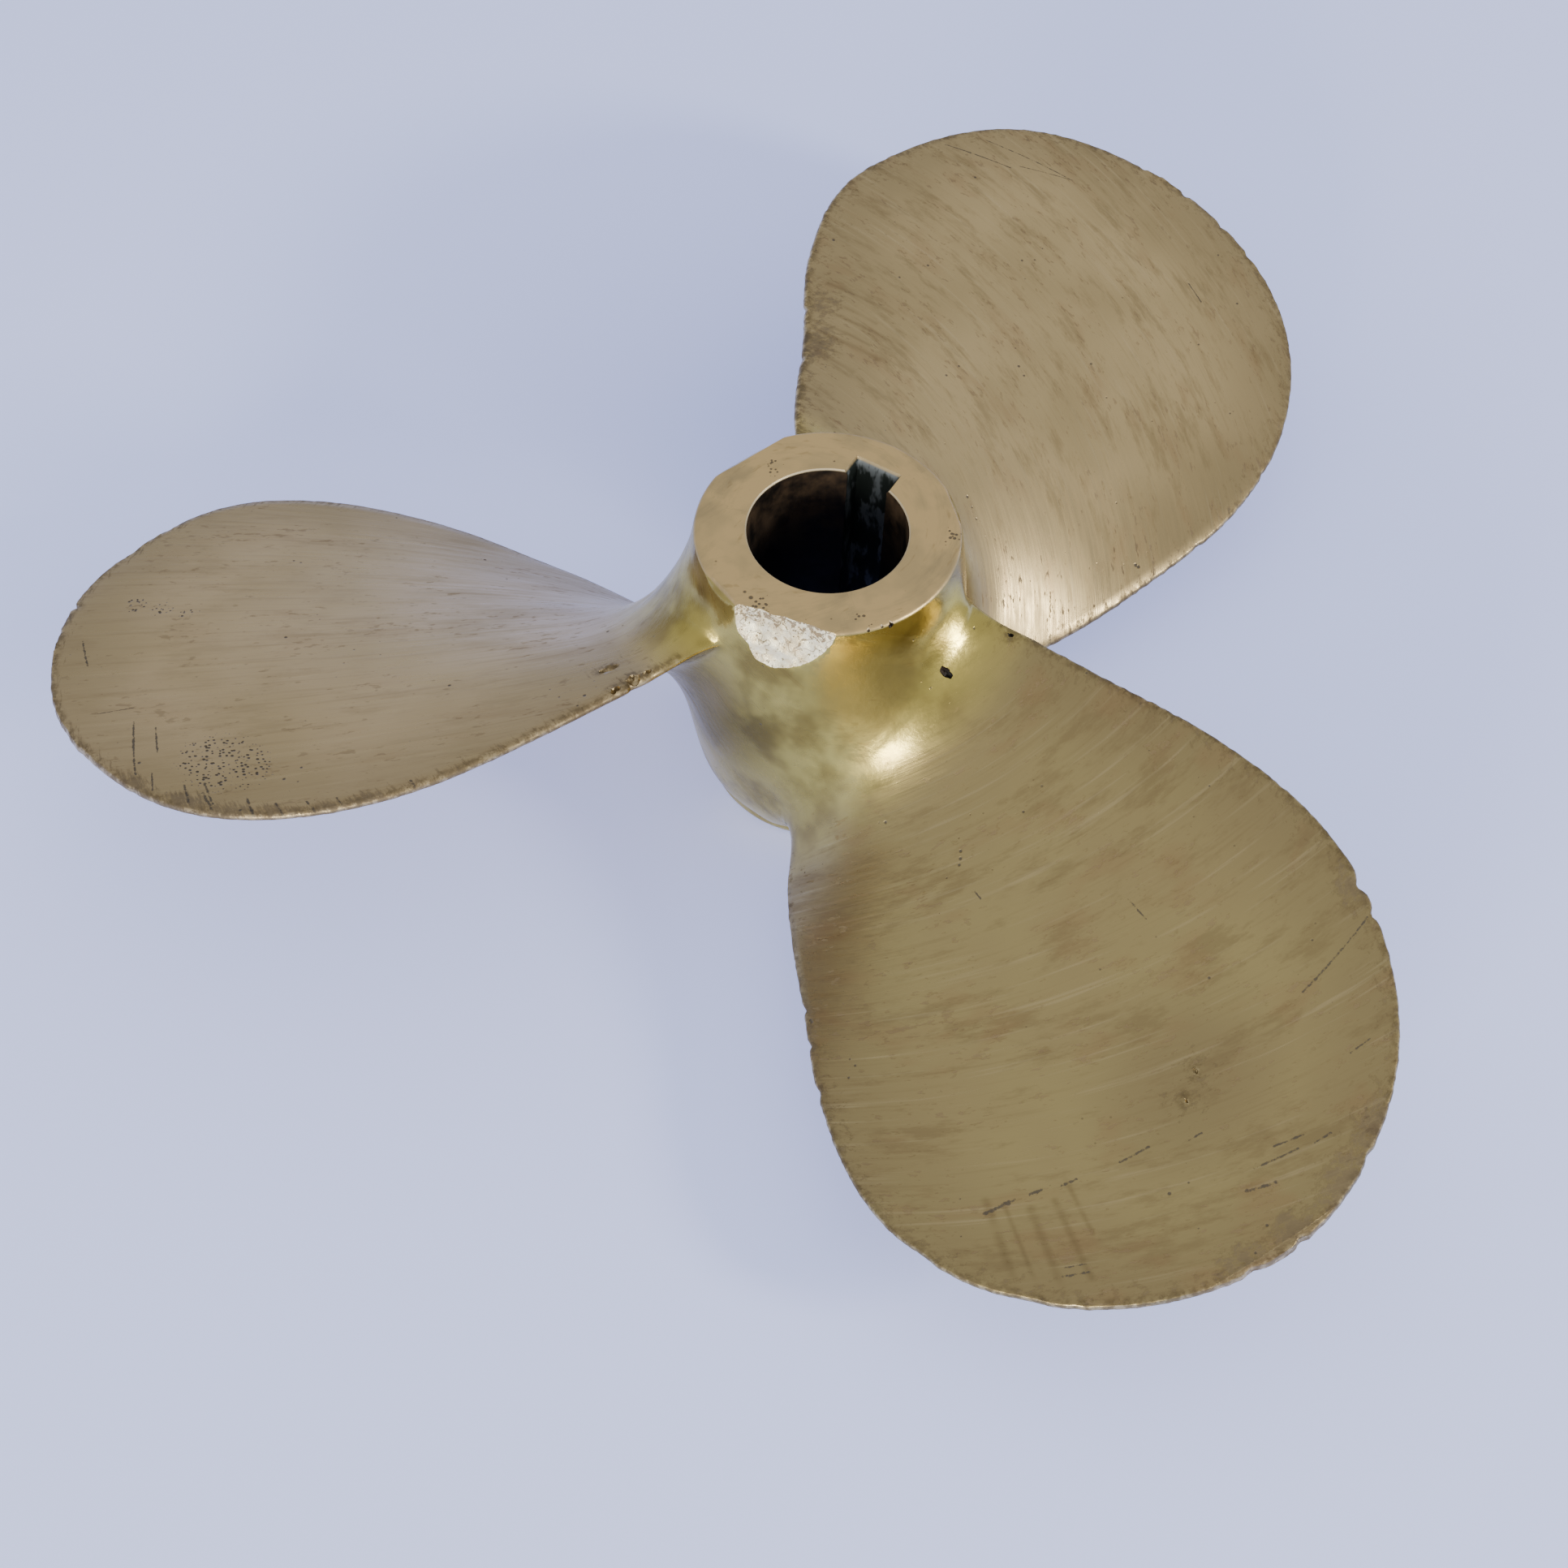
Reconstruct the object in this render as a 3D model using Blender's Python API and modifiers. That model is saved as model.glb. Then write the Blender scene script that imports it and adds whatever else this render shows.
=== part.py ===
"""A three-bladed boat propeller: one bronze casting, worn and chipped by use.

The part stands as it lies out of use, on the aft end of its hub, with the shaft
axis upright. Metres throughout. +Z runs along the shaft axis towards the forward
end of the hub, the origin is on that axis at the centre of mass, and the keyway
is on the +Y side. The propeller is right handed: a blade climbs towards +Z as it
goes counter-clockwise about the axis, so its upper edge is the leading edge.
"""

import math

import bmesh
import bpy
import numpy as np
from mathutils import Vector

OBJECT_NAME = "ship_propeller"
CASTING_NAME = "propeller_casting"
MM = 0.001

# Driving dimensions of the whole
TIP_RADIUS = 0.200
PITCH = 0.280
RAKE = -0.0037
BLADE_COUNT = 3
FIRST_BLADE_ANGLE = math.radians(92.0)

# The hub: a barrel, turned flat at both ends
HUB_FORWARD_Z = 0.0450
HUB_AFT_Z = -0.0450
HUB_BELLY_Z = 0.0030
HUB_FORWARD_RADIUS = 0.0330
HUB_BELLY_RADIUS = 0.0361
HUB_AFT_RADIUS = 0.0285
FORWARD_EDGE_ROUND = 0.0012
AFT_EDGE_ROUND = 0.0040

# The bore tapers towards the aft end, and the keyway's floor follows it
BORE_FORWARD_RADIUS = 0.0200
BORE_TAPER = 1.0 / 12.0
KEYWAY_WIDTH = 0.0112
KEYWAY_DEPTH = 0.0043

# Flat places where the forward rim is broken or hammered: the azimuth of the facet's
# normal and its tilt above the level, in degrees, how far from the axis the facet cuts
# the forward face, and how far it may run down from there.
RIM_FACETS = (
    (284.0, 20.0, 0.0300, 0.018),
    (247.0, 40.0, 0.0317, 0.006),
    (159.0, 38.0, 0.0305, 0.008),
    (46.0, 38.0, 0.0318, 0.006),
)

# The blade's outline, as the offset table of a propeller drawing: how far the leading and
# the trailing edge lie from the blade's centre line, measured along the helix, at equal
# steps of radius from the root to the tip. The round tip then closes it.
ROOT_RADIUS = 0.035
LEADING_OFFSETS = (0.0400, 0.0545, 0.0740, 0.0885, 0.0925)
TRAILING_OFFSETS = (0.0380, 0.0565, 0.0725, 0.0925, 0.1010)
TIP_ROUNDNESS = 3.25

# Use has left each blade's edge a little outside or inside that outline. These are the
# departures in mm, outwards positive, every 30 degrees round the blade's middle: from
# 120 degrees on the trailing side, past the tip, to 120 degrees on the leading side.
WEAR_STEP = 30.0
WEAR_CENTRE_RADIUS = 0.120
EDGE_WEAR = (
    (1.0, 1.0, -1.5, 1.0, 0.5, 3.0, 1.0, -2.5, -3.5),
    (1.0, 3.0, 3.0, -2.5, -3.5, -2.0, 1.0, 0.5, 0.0),
    (-0.5, 1.0, 1.0, 1.0, 1.0, 0.5, -1.0, -1.5, -1.0),
)

# Blade sections
ROOT_THICKNESS = 0.0130
TIP_THICKNESS = 0.0032
EDGE_THICKNESS = 0.0022
CAMBER_SHARE = 0.25
FORWARD_FILLET = 0.0200
AFT_FILLET = 0.0110
ROOT_FLARE_LIMIT = 0.9987
ROOT_SINK = 0.0070
ROOT_STEPS = (-0.055, 0.022, 0.09, 0.22, 0.42, 0.69, 1.0)

# Facets
HUB_FACETS = 60
HUB_SIDE_STEPS = 10
SECTION_SIDE_POINTS = 16
RADIAL_STATIONS = 25


def remove_scene_objects():
    for thing in list(bpy.data.objects):
        bpy.data.objects.remove(thing, do_unlink=True)


def new_collection(name):
    collection = bpy.data.collections.new(name)
    bpy.context.scene.collection.children.link(collection)
    return collection


def cast_bronze():
    material = bpy.data.materials.new("cast_bronze")
    material.use_nodes = True
    shader = material.node_tree.nodes["Principled BSDF"]
    shader.inputs["Base Color"].default_value = (0.36, 0.29, 0.18, 1.0)
    shader.inputs["Metallic"].default_value = 0.9
    shader.inputs["Roughness"].default_value = 0.38
    return material


def arc(centre_r, centre_z, radius, start_deg, end_deg, steps):
    """Profile points of an arc, as (r, z) pairs from the start to the end angle."""
    angles = np.radians(np.linspace(start_deg, end_deg, steps + 1))
    return [(centre_r + radius * math.cos(a), centre_z + radius * math.sin(a)) for a in angles]


def hub_radius(z):
    """Radius of the hub's barrel-shaped side: widest at the belly, less towards both ends."""
    if z > HUB_BELLY_Z:
        end_z, end_radius = HUB_FORWARD_Z, HUB_FORWARD_RADIUS
    else:
        end_z, end_radius = HUB_AFT_Z, HUB_AFT_RADIUS
    share = (z - HUB_BELLY_Z) / (end_z - HUB_BELLY_Z)
    return HUB_BELLY_RADIUS - (HUB_BELLY_RADIUS - end_radius) * share ** 2


def hub_profile():
    """The hub's outline from the axis at the forward face, down its side, to the axis aft."""
    forward_round = arc(HUB_FORWARD_RADIUS - FORWARD_EDGE_ROUND, HUB_FORWARD_Z - FORWARD_EDGE_ROUND,
                        FORWARD_EDGE_ROUND, 90, 0, 2)
    aft_round = arc(HUB_AFT_RADIUS - AFT_EDGE_ROUND, HUB_AFT_Z + AFT_EDGE_ROUND,
                    AFT_EDGE_ROUND, 20, -90, 4)
    start_z = forward_round[-1][1]
    end_z = aft_round[0][1]
    side = []
    for i in range(1, HUB_SIDE_STEPS):
        z = start_z + (end_z - start_z) * i / HUB_SIDE_STEPS
        side.append((hub_radius(z), z))
    return [(0.0, HUB_FORWARD_Z)] + forward_round + side + aft_round + [(0.0, HUB_AFT_Z)]


def turned(name, profile, collection):
    """A solid of revolution about Z from (r, z) points that start and end on the axis."""
    mesh = bpy.data.meshes.new(name)
    points = [(r, 0.0, z) for r, z in profile]
    mesh.from_pydata(points, [(i, i + 1) for i in range(len(points) - 1)], [])
    body = bpy.data.objects.new(name, mesh)
    collection.objects.link(body)
    screw = body.modifiers.new("Turn", "SCREW")
    screw.axis = "Z"
    screw.steps = HUB_FACETS
    screw.render_steps = HUB_FACETS
    screw.use_merge_vertices = True
    screw.merge_threshold = 0.00001
    return body


def offset_curve(offsets, rho):
    """A smooth curve through an offset table's values at equal steps of rho from 0 to 1."""
    stations = np.linspace(0.0, 1.0, len(offsets))
    return float(np.polyval(np.polyfit(stations, offsets, len(offsets) - 1), rho))


def edge_offsets(rho):
    """Distances from the centre line to the leading and to the trailing edge."""
    closing = math.sqrt(1.0 - rho ** TIP_ROUNDNESS)
    return closing * offset_curve(LEADING_OFFSETS, rho), closing * offset_curve(TRAILING_OFFSETS, rho)


def edge_departure(blade_number, angle_deg):
    """How far a blade's worn edge lies outside its drawn outline, seen from its middle."""
    stops = (0.0,) + EDGE_WEAR[blade_number] + (0.0,)
    place = min(max(angle_deg / WEAR_STEP + 0.5 * (len(stops) - 1), 0.0), len(stops) - 1.001)
    first = int(place)
    blend = place - first
    blend = blend * blend * (3.0 - 2.0 * blend)
    return MM * (stops[first] * (1.0 - blend) + stops[first + 1] * blend)


def worn(blade_number, radius, along, rho, side):
    """Moves a point of the drawn outline plane by the wear of the edge nearest to it."""
    angle = math.atan2(along, radius - WEAR_CENTRE_RADIUS)
    nearness = 1.0 - (1.0 - side ** 2) * (1.0 - rho ** 6)
    shift = edge_departure(blade_number, math.degrees(angle)) * nearness ** 2
    return radius + shift * math.cos(angle), along + shift * math.sin(angle)


def helix_slope(radius):
    return math.atan(PITCH / (2.0 * math.pi * radius))


def on_helix(radius, along, across, rho, angle):
    """A point given along a blade's helix from its centre line, and across its thickness."""
    slope = helix_slope(radius)
    turn = angle + (along * math.cos(slope) - across * math.sin(slope)) / radius
    z = along * math.sin(slope) + across * math.cos(slope) + RAKE * rho
    return (radius * math.cos(turn), radius * math.sin(turn), z)


def root_flare(height, fillet):
    """How much thickness a round fillet adds to one side at this height above the hub."""
    inside = min(max(1.0 - height / fillet, 0.0), ROOT_FLARE_LIMIT)
    return fillet * (1.0 - math.sqrt(1.0 - inside ** 2))


def section(blade_number, radius):
    """One closed section of a blade: the forward side to the trailing edge, then back.

    Near the hub the section follows the barrel's side instead of one constant radius.
    """
    angle = FIRST_BLADE_ANGLE + blade_number * 2.0 * math.pi / BLADE_COUNT
    rho = min(max((radius - ROOT_RADIUS) / (TIP_RADIUS - ROOT_RADIUS), 0.0), 1.0)
    leading, trailing = edge_offsets(rho)
    thickness = ROOT_THICKNESS + (TIP_THICKNESS - ROOT_THICKNESS) * rho ** 0.8
    height = radius - HUB_BELLY_RADIUS
    follow = min(max(1.0 - height / FORWARD_FILLET, 0.0), 1.0)
    forward_flare = root_flare(height, FORWARD_FILLET)
    aft_flare = root_flare(height, AFT_FILLET)
    climb = math.sin(helix_slope(radius))
    forward_side = []
    aft_side = []
    for i in range(SECTION_SIDE_POINTS):
        t = math.cos(math.pi * (i + 0.5) / SECTION_SIDE_POINTS)
        bulge = 1.0 - t * t
        edge = EDGE_THICKNESS * min(1.0, 6.0 * math.sqrt(bulge))
        drawn = 0.5 * (leading - trailing) + 0.5 * (leading + trailing) * t
        here = radius - follow * (HUB_BELLY_RADIUS - hub_radius(drawn * climb))
        half = 0.5 * (edge + (thickness - EDGE_THICKNESS) * bulge)
        lean = CAMBER_SHARE * (thickness - EDGE_THICKNESS) * bulge
        side = drawn / leading if drawn > 0.0 else drawn / trailing
        r, along = worn(blade_number, here, drawn, rho, side)
        forward_side.append(on_helix(r, along, lean + half + forward_flare * bulge, rho, angle))
        aft_side.append(on_helix(r, along, lean - half - aft_flare * bulge, rho, angle))
    return forward_side + aft_side[::-1]


def station_radii():
    """Radii of the sections, close together at the root fillet and at the round tip."""
    radii = [HUB_BELLY_RADIUS - ROOT_SINK]
    radii += [HUB_BELLY_RADIUS + FORWARD_FILLET * s for s in ROOT_STEPS]
    start = radii[-1]
    reach = 0.9985 * TIP_RADIUS - start
    count = RADIAL_STATIONS - len(radii)
    radii += [start + reach * math.sin(0.5 * math.pi * (i + 1) / count) for i in range(count)]
    return radii


def blade(blade_number, collection, material):
    """One blade as a loft of its sections, from inside the hub to the tip."""
    shape = bmesh.new()
    rings = [[shape.verts.new(p) for p in section(blade_number, r)] for r in station_radii()]
    for lower, upper in zip(rings, rings[1:]):
        for i in range(len(lower)):
            j = (i + 1) % len(lower)
            shape.faces.new((lower[i], lower[j], upper[j], upper[i]))
    for ring in (rings[0], rings[-1]):
        for i in range(SECTION_SIDE_POINTS - 1):
            shape.faces.new((ring[i], ring[i + 1], ring[-2 - i], ring[-1 - i]))
    bmesh.ops.recalc_face_normals(shape, faces=shape.faces)
    name = f"blade_{blade_number + 1}"
    mesh = bpy.data.meshes.new(name)
    shape.to_mesh(mesh)
    shape.free()
    mesh.materials.append(material)
    body = bpy.data.objects.new(name, mesh)
    collection.objects.link(body)
    return body


def box(name, size, collection):
    """A box of the given size, centred on its own origin."""
    bpy.ops.mesh.primitive_cube_add(size=1.0)
    body = bpy.context.object
    body.name = name
    body.scale = size
    bpy.ops.object.transform_apply(location=False, rotation=False, scale=True)
    for owner in list(body.users_collection):
        owner.objects.unlink(body)
    collection.objects.link(body)
    return body


def bore_cutter(collection):
    """The tapered bore, run past both ends of the hub."""
    past = 0.010
    half_taper = 0.5 * BORE_TAPER
    top = HUB_FORWARD_Z + past
    bottom = HUB_AFT_Z - past
    profile = [
        (0.0, top),
        (BORE_FORWARD_RADIUS + half_taper * past, top),
        (BORE_FORWARD_RADIUS - half_taper * (HUB_FORWARD_Z - bottom), bottom),
        (0.0, bottom),
    ]
    return turned("bore_cutter", profile, collection)


def keyway_cutter(collection):
    """A bar whose outer side is the keyway's floor, tilted to follow the bore's taper."""
    depth = 0.020
    length = HUB_FORWARD_Z - HUB_AFT_Z + 0.020
    bar = box("keyway_cutter", (KEYWAY_WIDTH, depth, length), collection)
    middle_z = 0.5 * (HUB_FORWARD_Z + HUB_AFT_Z)
    floor = BORE_FORWARD_RADIUS + KEYWAY_DEPTH - 0.5 * BORE_TAPER * (HUB_FORWARD_Z - middle_z)
    bar.location = (0.0, floor - 0.5 * depth, middle_z)
    bar.rotation_euler = (-math.atan(0.5 * BORE_TAPER), 0.0, 0.0)
    return bar


def facet_cutter(number, azimuth_deg, tilt_deg, face_distance, reach, collection):
    """A block outside one flat facet, centred where the facet cuts the forward face."""
    thickness = 0.010
    width = 0.044
    block = box(f"rim_facet_{number}_cutter", (thickness, width, 2.0 * reach), collection)
    azimuth = math.radians(azimuth_deg)
    tilt = math.radians(tilt_deg)
    block.rotation_euler = (0.0, -tilt, azimuth)
    outwards = Vector((math.cos(azimuth), math.sin(azimuth), 0.0))
    normal = math.cos(tilt) * outwards + Vector((0.0, 0.0, math.sin(tilt)))
    face_centre = Vector((0.0, 0.0, HUB_FORWARD_Z))
    block.location = face_centre + face_distance * outwards + 0.5 * thickness * normal
    return block


def boolean(body, operation, other):
    step = body.modifiers.new(other.name, "BOOLEAN")
    step.operation = operation
    step.solver = "EXACT"
    step.object = other
    other.hide_render = True
    other.display_type = "WIRE"


def propeller_casting(parts, cutters):
    bronze = cast_bronze()
    casting = turned(CASTING_NAME, hub_profile(), parts)
    casting.data.materials.append(bronze)
    for number in range(BLADE_COUNT):
        boolean(casting, "UNION", blade(number, cutters, bronze))
    boolean(casting, "DIFFERENCE", keyway_cutter(cutters))
    boolean(casting, "DIFFERENCE", bore_cutter(cutters))
    for number, facet in enumerate(RIM_FACETS, start=1):
        boolean(casting, "DIFFERENCE", facet_cutter(number, *facet, cutters))
    return casting


def main():
    remove_scene_objects()
    parts = new_collection(OBJECT_NAME)
    cutters = new_collection("cutters")
    propeller_casting(parts, cutters)


main()
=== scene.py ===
"""Looks of the worn bronze boat propeller.

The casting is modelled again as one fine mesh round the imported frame: the same hub and
helical blades, with rounded and nicked edges, the broken forward rim, and a satin bronze
finish that carries the brushing, scratches, pits and patina of long use. Metres, and the
row frame of the CAD model: +Z along the shaft axis, the keyway on +Y.
"""

import math

import bmesh
import bpy
import numpy as np
from mathutils import Matrix, Vector, kdtree, noise


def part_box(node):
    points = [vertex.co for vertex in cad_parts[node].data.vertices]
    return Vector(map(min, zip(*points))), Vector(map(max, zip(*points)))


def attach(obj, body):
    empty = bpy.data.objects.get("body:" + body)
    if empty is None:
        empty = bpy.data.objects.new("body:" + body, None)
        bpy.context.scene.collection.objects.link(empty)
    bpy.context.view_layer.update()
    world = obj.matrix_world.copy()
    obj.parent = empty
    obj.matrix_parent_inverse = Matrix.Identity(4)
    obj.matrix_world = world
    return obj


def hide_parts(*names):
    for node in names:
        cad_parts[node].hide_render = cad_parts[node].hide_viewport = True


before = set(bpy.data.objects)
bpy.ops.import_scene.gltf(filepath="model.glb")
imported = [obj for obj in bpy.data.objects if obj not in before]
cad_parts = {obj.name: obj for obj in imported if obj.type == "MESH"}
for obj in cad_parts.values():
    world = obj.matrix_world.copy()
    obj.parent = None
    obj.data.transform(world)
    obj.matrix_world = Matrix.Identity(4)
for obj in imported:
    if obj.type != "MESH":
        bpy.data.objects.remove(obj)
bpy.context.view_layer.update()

CASTING = "propeller_casting"
MM = 0.001
FRAME_LOW, FRAME_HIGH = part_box(CASTING)

# Driving dimensions, as the CAD model has them
TIP_RADIUS = 0.200
PITCH = 0.280
RAKE = -0.0037
BLADE_COUNT = 3
FIRST_BLADE_ANGLE = math.radians(92.0)
HUB_FORWARD_Z = FRAME_HIGH.z
HUB_AFT_Z = FRAME_LOW.z
HUB_BELLY_Z = 0.0030
HUB_FORWARD_RADIUS = 0.0330
HUB_BELLY_RADIUS = 0.0361
HUB_AFT_RADIUS = 0.0285
FORWARD_EDGE_ROUND = 0.0012
AFT_EDGE_ROUND = 0.0040
BORE_FORWARD_RADIUS = 0.0200
BORE_TAPER = 1.0 / 12.0
BORE_CHAMFER = 0.0003
KEYWAY_WIDTH = 0.0112
KEYWAY_DEPTH = 0.0043

# The blade's outline, sections and root fillet
ROOT_RADIUS = 0.035
LEADING_OFFSETS = (0.0400, 0.0545, 0.0740, 0.0885, 0.0925)
TRAILING_OFFSETS = (0.0380, 0.0565, 0.0725, 0.0925, 0.1010)
TIP_ROUNDNESS = 3.25
ROOT_THICKNESS = 0.0130
TIP_THICKNESS = 0.0032
EDGE_THICKNESS = 0.0022
CAMBER_SHARE = 0.25
ROOT_SINK = 0.0070
ROOT_BAND = 0.0320

# Reach of the soft blend between a blade's root and the hub: on the forward and the aft
# side, at the middle of the root and at its edges
FORWARD_BLEND = (0.0290, 0.0170)
AFT_BLEND = (0.0140, 0.0050)

# Wear of the outline in mm, outwards positive, every 30 degrees round the blade's middle:
# from 120 degrees on the trailing side, past the tip, to 120 degrees on the leading side
WEAR_STEP = 30.0
WEAR_CENTRE_RADIUS = 0.120
EDGE_WEAR = (
    (1.0, 1.0, -1.5, 1.0, 1.0, 4.5, 1.0, -2.5, -3.5),
    (1.5, 3.5, 3.0, -3.0, -4.5, -3.0, 1.0, 0.5, 0.0),
    (-0.5, 1.0, 1.0, 2.0, 2.0, 0.5, -1.0, -1.5, -1.0),
)

# Nicks in the blades' edges: angle round the blade's middle as above, depth in mm and
# half width in degrees
EDGE_NICKS = (
    ((4, 0.5, 0.9), (-6, 1.2, 1.0), (-16, 0.8, 1.2), (-24, 0.7, 1.2), (-70, 0.6, 1.0),
     (-92, 0.5, 1.1), (112, 0.8, 1.3), (130, 0.7, 1.4)),
    ((-15, 1.5, 0.9), (23, 0.5, 1.6), (-43, 0.5, 3.0), (-34, 0.6, 2.0), (143, 1.6, 1.3),
     (147, 1.2, 1.0)),
    ((65, 1.7, 1.7), (60, 1.4, 1.6), (-114, 0.9, 1.4), (-104, 0.8, 1.6), (-92, 0.9, 1.6),
     (-57, 0.7, 5.0), (-41, 0.6, 4.0), (21, 0.8, 1.5), (3, 0.7, 1.2), (-6, 0.9, 2.0)),
)
RAGGED_EDGE = 0.00028
DAMAGE_START_RADIUS = 0.046

# The broken place on the forward rim, and the flats beside it: azimuth of the normal and
# tilt above the level in degrees, and distance from the axis at the forward face
FRACTURE = (281.5, 20.0, 0.0299)
FRACTURE_HALF_WIDTH = 0.0145
RIM_FLATS = ((247.0, 40.0, 0.0317), (159.0, 38.0, 0.0305), (46.0, 38.0, 0.0318))

# Dents and pits: place in the row frame, then length, width and depth; mm
DENTS = (
    ((40.4, -9.8, 27.0), 4.4, 2.6, 1.2), ((48.5, 5.9, 29.3), 1.8, 1.2, 0.6),
    ((28.1, -16.9, 44.5), 2.6, 1.5, 0.8), ((24.6, -21.6, 44.6), 1.6, 1.0, 0.4),
    ((26.3, -19.4, 44.6), 1.3, 0.9, 0.4),
)
# The same on blades: blade, radius and distance along the helix, then the three sizes; mm
BLADE_DENTS = (
    (1, 59.8, 37.8, 6.5, 3.0, 1.0), (1, 58.4, 47.4, 4.5, 4.0, 1.6),
    (1, 63.6, 49.8, 3.2, 3.0, 1.2), (1, 54.2, 45.4, 3.0, 2.6, 1.1),
    (2, 154.8, 8.0, 1.8, 1.0, 0.4), (2, 159.0, 1.7, 1.5, 0.9, 0.4),
)

# Patches on the hub's side, in the row frame: the dark grey smudges below the broken rim, a
# patch of painted shade beside them, and a painted golden shade right of the broken rim
HUB_GREY_PLACE = (-0.0010, -0.0358, 0.0085)
HUB_PAINTED_SHADE_PLACE = (-0.0160, -0.0320, 0.0020)
HUB_GOLD_SHADE_PLACE = (0.0260, -0.0260, 0.0270)

# Clusters of small pits on the machined face, in the row frame
FACE_CLUSTERS = ((-0.0222, 0.0107), (0.0268, 0.0142), (0.0215, -0.0195), (-0.0020, -0.0290))

# Direction of each blade's brushing, turned from straight out towards the leading edge
BRUSHING_DEG = (68.0, 0.0, 74.0)

# Metal colours
# One bronze, lighter or darker per blade: partly each blade's own tone, partly painted light and shade for
# how brightly each blade shows
BLADE_COLOURS_AND_SHADE = ((0.585, 0.445, 0.225, 1.0), (0.535, 0.410, 0.235, 1.0), (0.435, 0.350, 0.155, 1.0))
CLOUD_COLOUR = (0.380, 0.290, 0.140, 1.0)
PATINA_COLOUR = (0.260, 0.200, 0.105, 1.0)
HUB_OLIVE = (0.500, 0.405, 0.105, 1.0)
HUB_DARK = (0.260, 0.195, 0.050, 1.0)
HUB_GREY = (0.110, 0.080, 0.022, 1.0)
# Painted golden shade on the hub's side, right of the broken rim
HUB_GOLD_SHADE = (0.215, 0.170, 0.050, 1.0)
# Painted shade on the hub's side
HUB_PAINTED_SHADE = (0.165, 0.122, 0.028, 1.0)
FACE_COLOUR = (0.660, 0.475, 0.220, 1.0)
FACE_PATCH_COLOUR = (0.450, 0.345, 0.180, 1.0)
SMEAR_COLOUR = (0.225, 0.165, 0.080, 1.0)
REDDISH_COLOUR = (0.340, 0.205, 0.100, 1.0)
BRIGHT_COLOUR = (0.760, 0.620, 0.360, 1.0)
SPECK_COLOUR = (0.110, 0.070, 0.030, 1.0)
STAIN_COLOUR = (0.075, 0.052, 0.026, 1.0)
PIT_COLOUR = (0.040, 0.034, 0.028, 1.0)

# Straight dark marks: blade, ends as radius and distance along the helix, half width; mm
DARK_MARKS = (
    (0, 176.7, 55.9, 176.6, 36.4, 0.35), (0, 184.0, 47.2, 182.4, 20.3, 0.30),
    (0, 178.7, 34.6, 182.4, 20.3, 0.25), (0, 172.2, -24.0, 169.9, -29.7, 0.40),
    (1, 173.7, 30.6, 175.4, 50.9, 0.50), (1, 168.5, 33.6, 169.0, 43.2, 0.45),
    (1, 182.6, 26.1, 173.5, 24.8, 0.25), (1, 160.3, 57.2, 160.4, 65.3, 0.60),
    (1, 188.5, -4.0, 186.0, 6.3, 0.50),
    (2, 161.3, -51.2, 160.6, -43.7, 0.85), (2, 160.9, -40.2, 161.0, -37.1, 0.70),
    (2, 162.1, -32.8, 162.2, -29.1, 0.65), (2, 163.4, -18.5, 163.6, -11.1, 0.55),
    (2, 167.4, -2.6, 167.6, 0.7, 0.45), (2, 185.1, 0.8, 187.4, 7.6, 0.75),
    (2, 181.7, 5.5, 184.1, 16.6, 0.50), (2, 180.2, 12.4, 182.3, 19.5, 0.45),
    (2, 185.4, 20.5, 186.1, 25.0, 0.50), (2, 157.4, 40.4, 157.8, 55.2, 0.55),
    (2, 157.8, 55.2, 158.1, 65.2, 0.45), (2, 175.4, 40.5, 176.4, 46.4, 0.40),
    (2, 182.7, -45.0, 184.1, -39.5, 0.60), (2, 180.9, -43.5, 182.0, -39.0, 0.45),
    (2, 111.5, 21.0, 118.1, 21.4, 0.45), (2, 84.6, -6.6, 87.4, -6.6, 0.40),
    (1, 165.0, 57.0, 165.5, 64.5, 0.55), (1, 161.5, 60.5, 161.0, 67.5, 0.70),
    (1, 152.5, 65.0, 153.0, 71.5, 0.60), (1, 147.0, 68.5, 147.0, 73.5, 0.50),
    (1, 140.5, 69.5, 140.0, 74.5, 0.55), (1, 134.0, 70.0, 134.0, 74.0, 0.45),
    (1, 171.5, 51.0, 172.5, 57.5, 0.40), (1, 117.0, 68.0, 117.5, 71.5, 0.60),
)

# Soft dark stripes and smudges of grinding, given like the marks above
SOFT_MARKS = (
    (2, 158.4, -49.5, 179.8, -55.2, 1.5), (2, 161.0, -46.5, 182.0, -51.2, 0.9),
    (2, 164.4, -42.0, 185.8, -46.9, 1.5), (2, 164.9, -36.2, 185.7, -39.9, 1.3),
    (2, 160.0, -31.0, 176.0, -33.5, 0.9),
    (0, 92.0, 30.0, 96.0, 54.0, 1.0), (0, 84.0, 34.0, 87.0, 50.0, 1.3),
    (0, 103.0, 38.0, 107.0, 58.0, 1.0), (0, 76.0, 38.0, 79.0, 49.0, 1.2),
    (0, 97.0, 40.0, 101.0, 57.0, 0.9), (0, 88.0, 38.0, 91.5, 55.0, 0.8),
)

# Clusters of small pits and brown stains: blade, place and radius; mm
PIT_CLUSTERS = (
    (1, 154.4, 50.2, 18.0), (1, 178.0, -19.0, 5.0), (1, 170.5, -16.5, 5.0), (1, 163.5, -14.5, 4.0),
)
STAINS = (
    (1, 165.1, 62.3, 9.0), (1, 157.0, 68.5, 8.0), (1, 148.3, 73.0, 8.0), (1, 127.6, 72.5, 6.0),
    (1, 137.0, 73.5, 6.0), (1, 176.0, 54.0, 7.0), (2, 195.0, 20.0, 13.0), (2, 192.0, 34.0, 12.0),
    (2, 197.0, 4.0, 11.0), (2, 198.0, -10.0, 9.0), (2, 150.0, 66.0, 8.0),
    (0, 84.0, 48.0, 13.0), (0, 100.0, 52.0, 11.0),
)

# Facets of the fine mesh
HUB_FACETS = 180
EDGE_ROUND_STEPS = 4
SECTION_FACE_STEPS = 50
ROOT_STATIONS = 28
ROOT_SMOOTHING = 14
BLADE_STATIONS = 165


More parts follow.
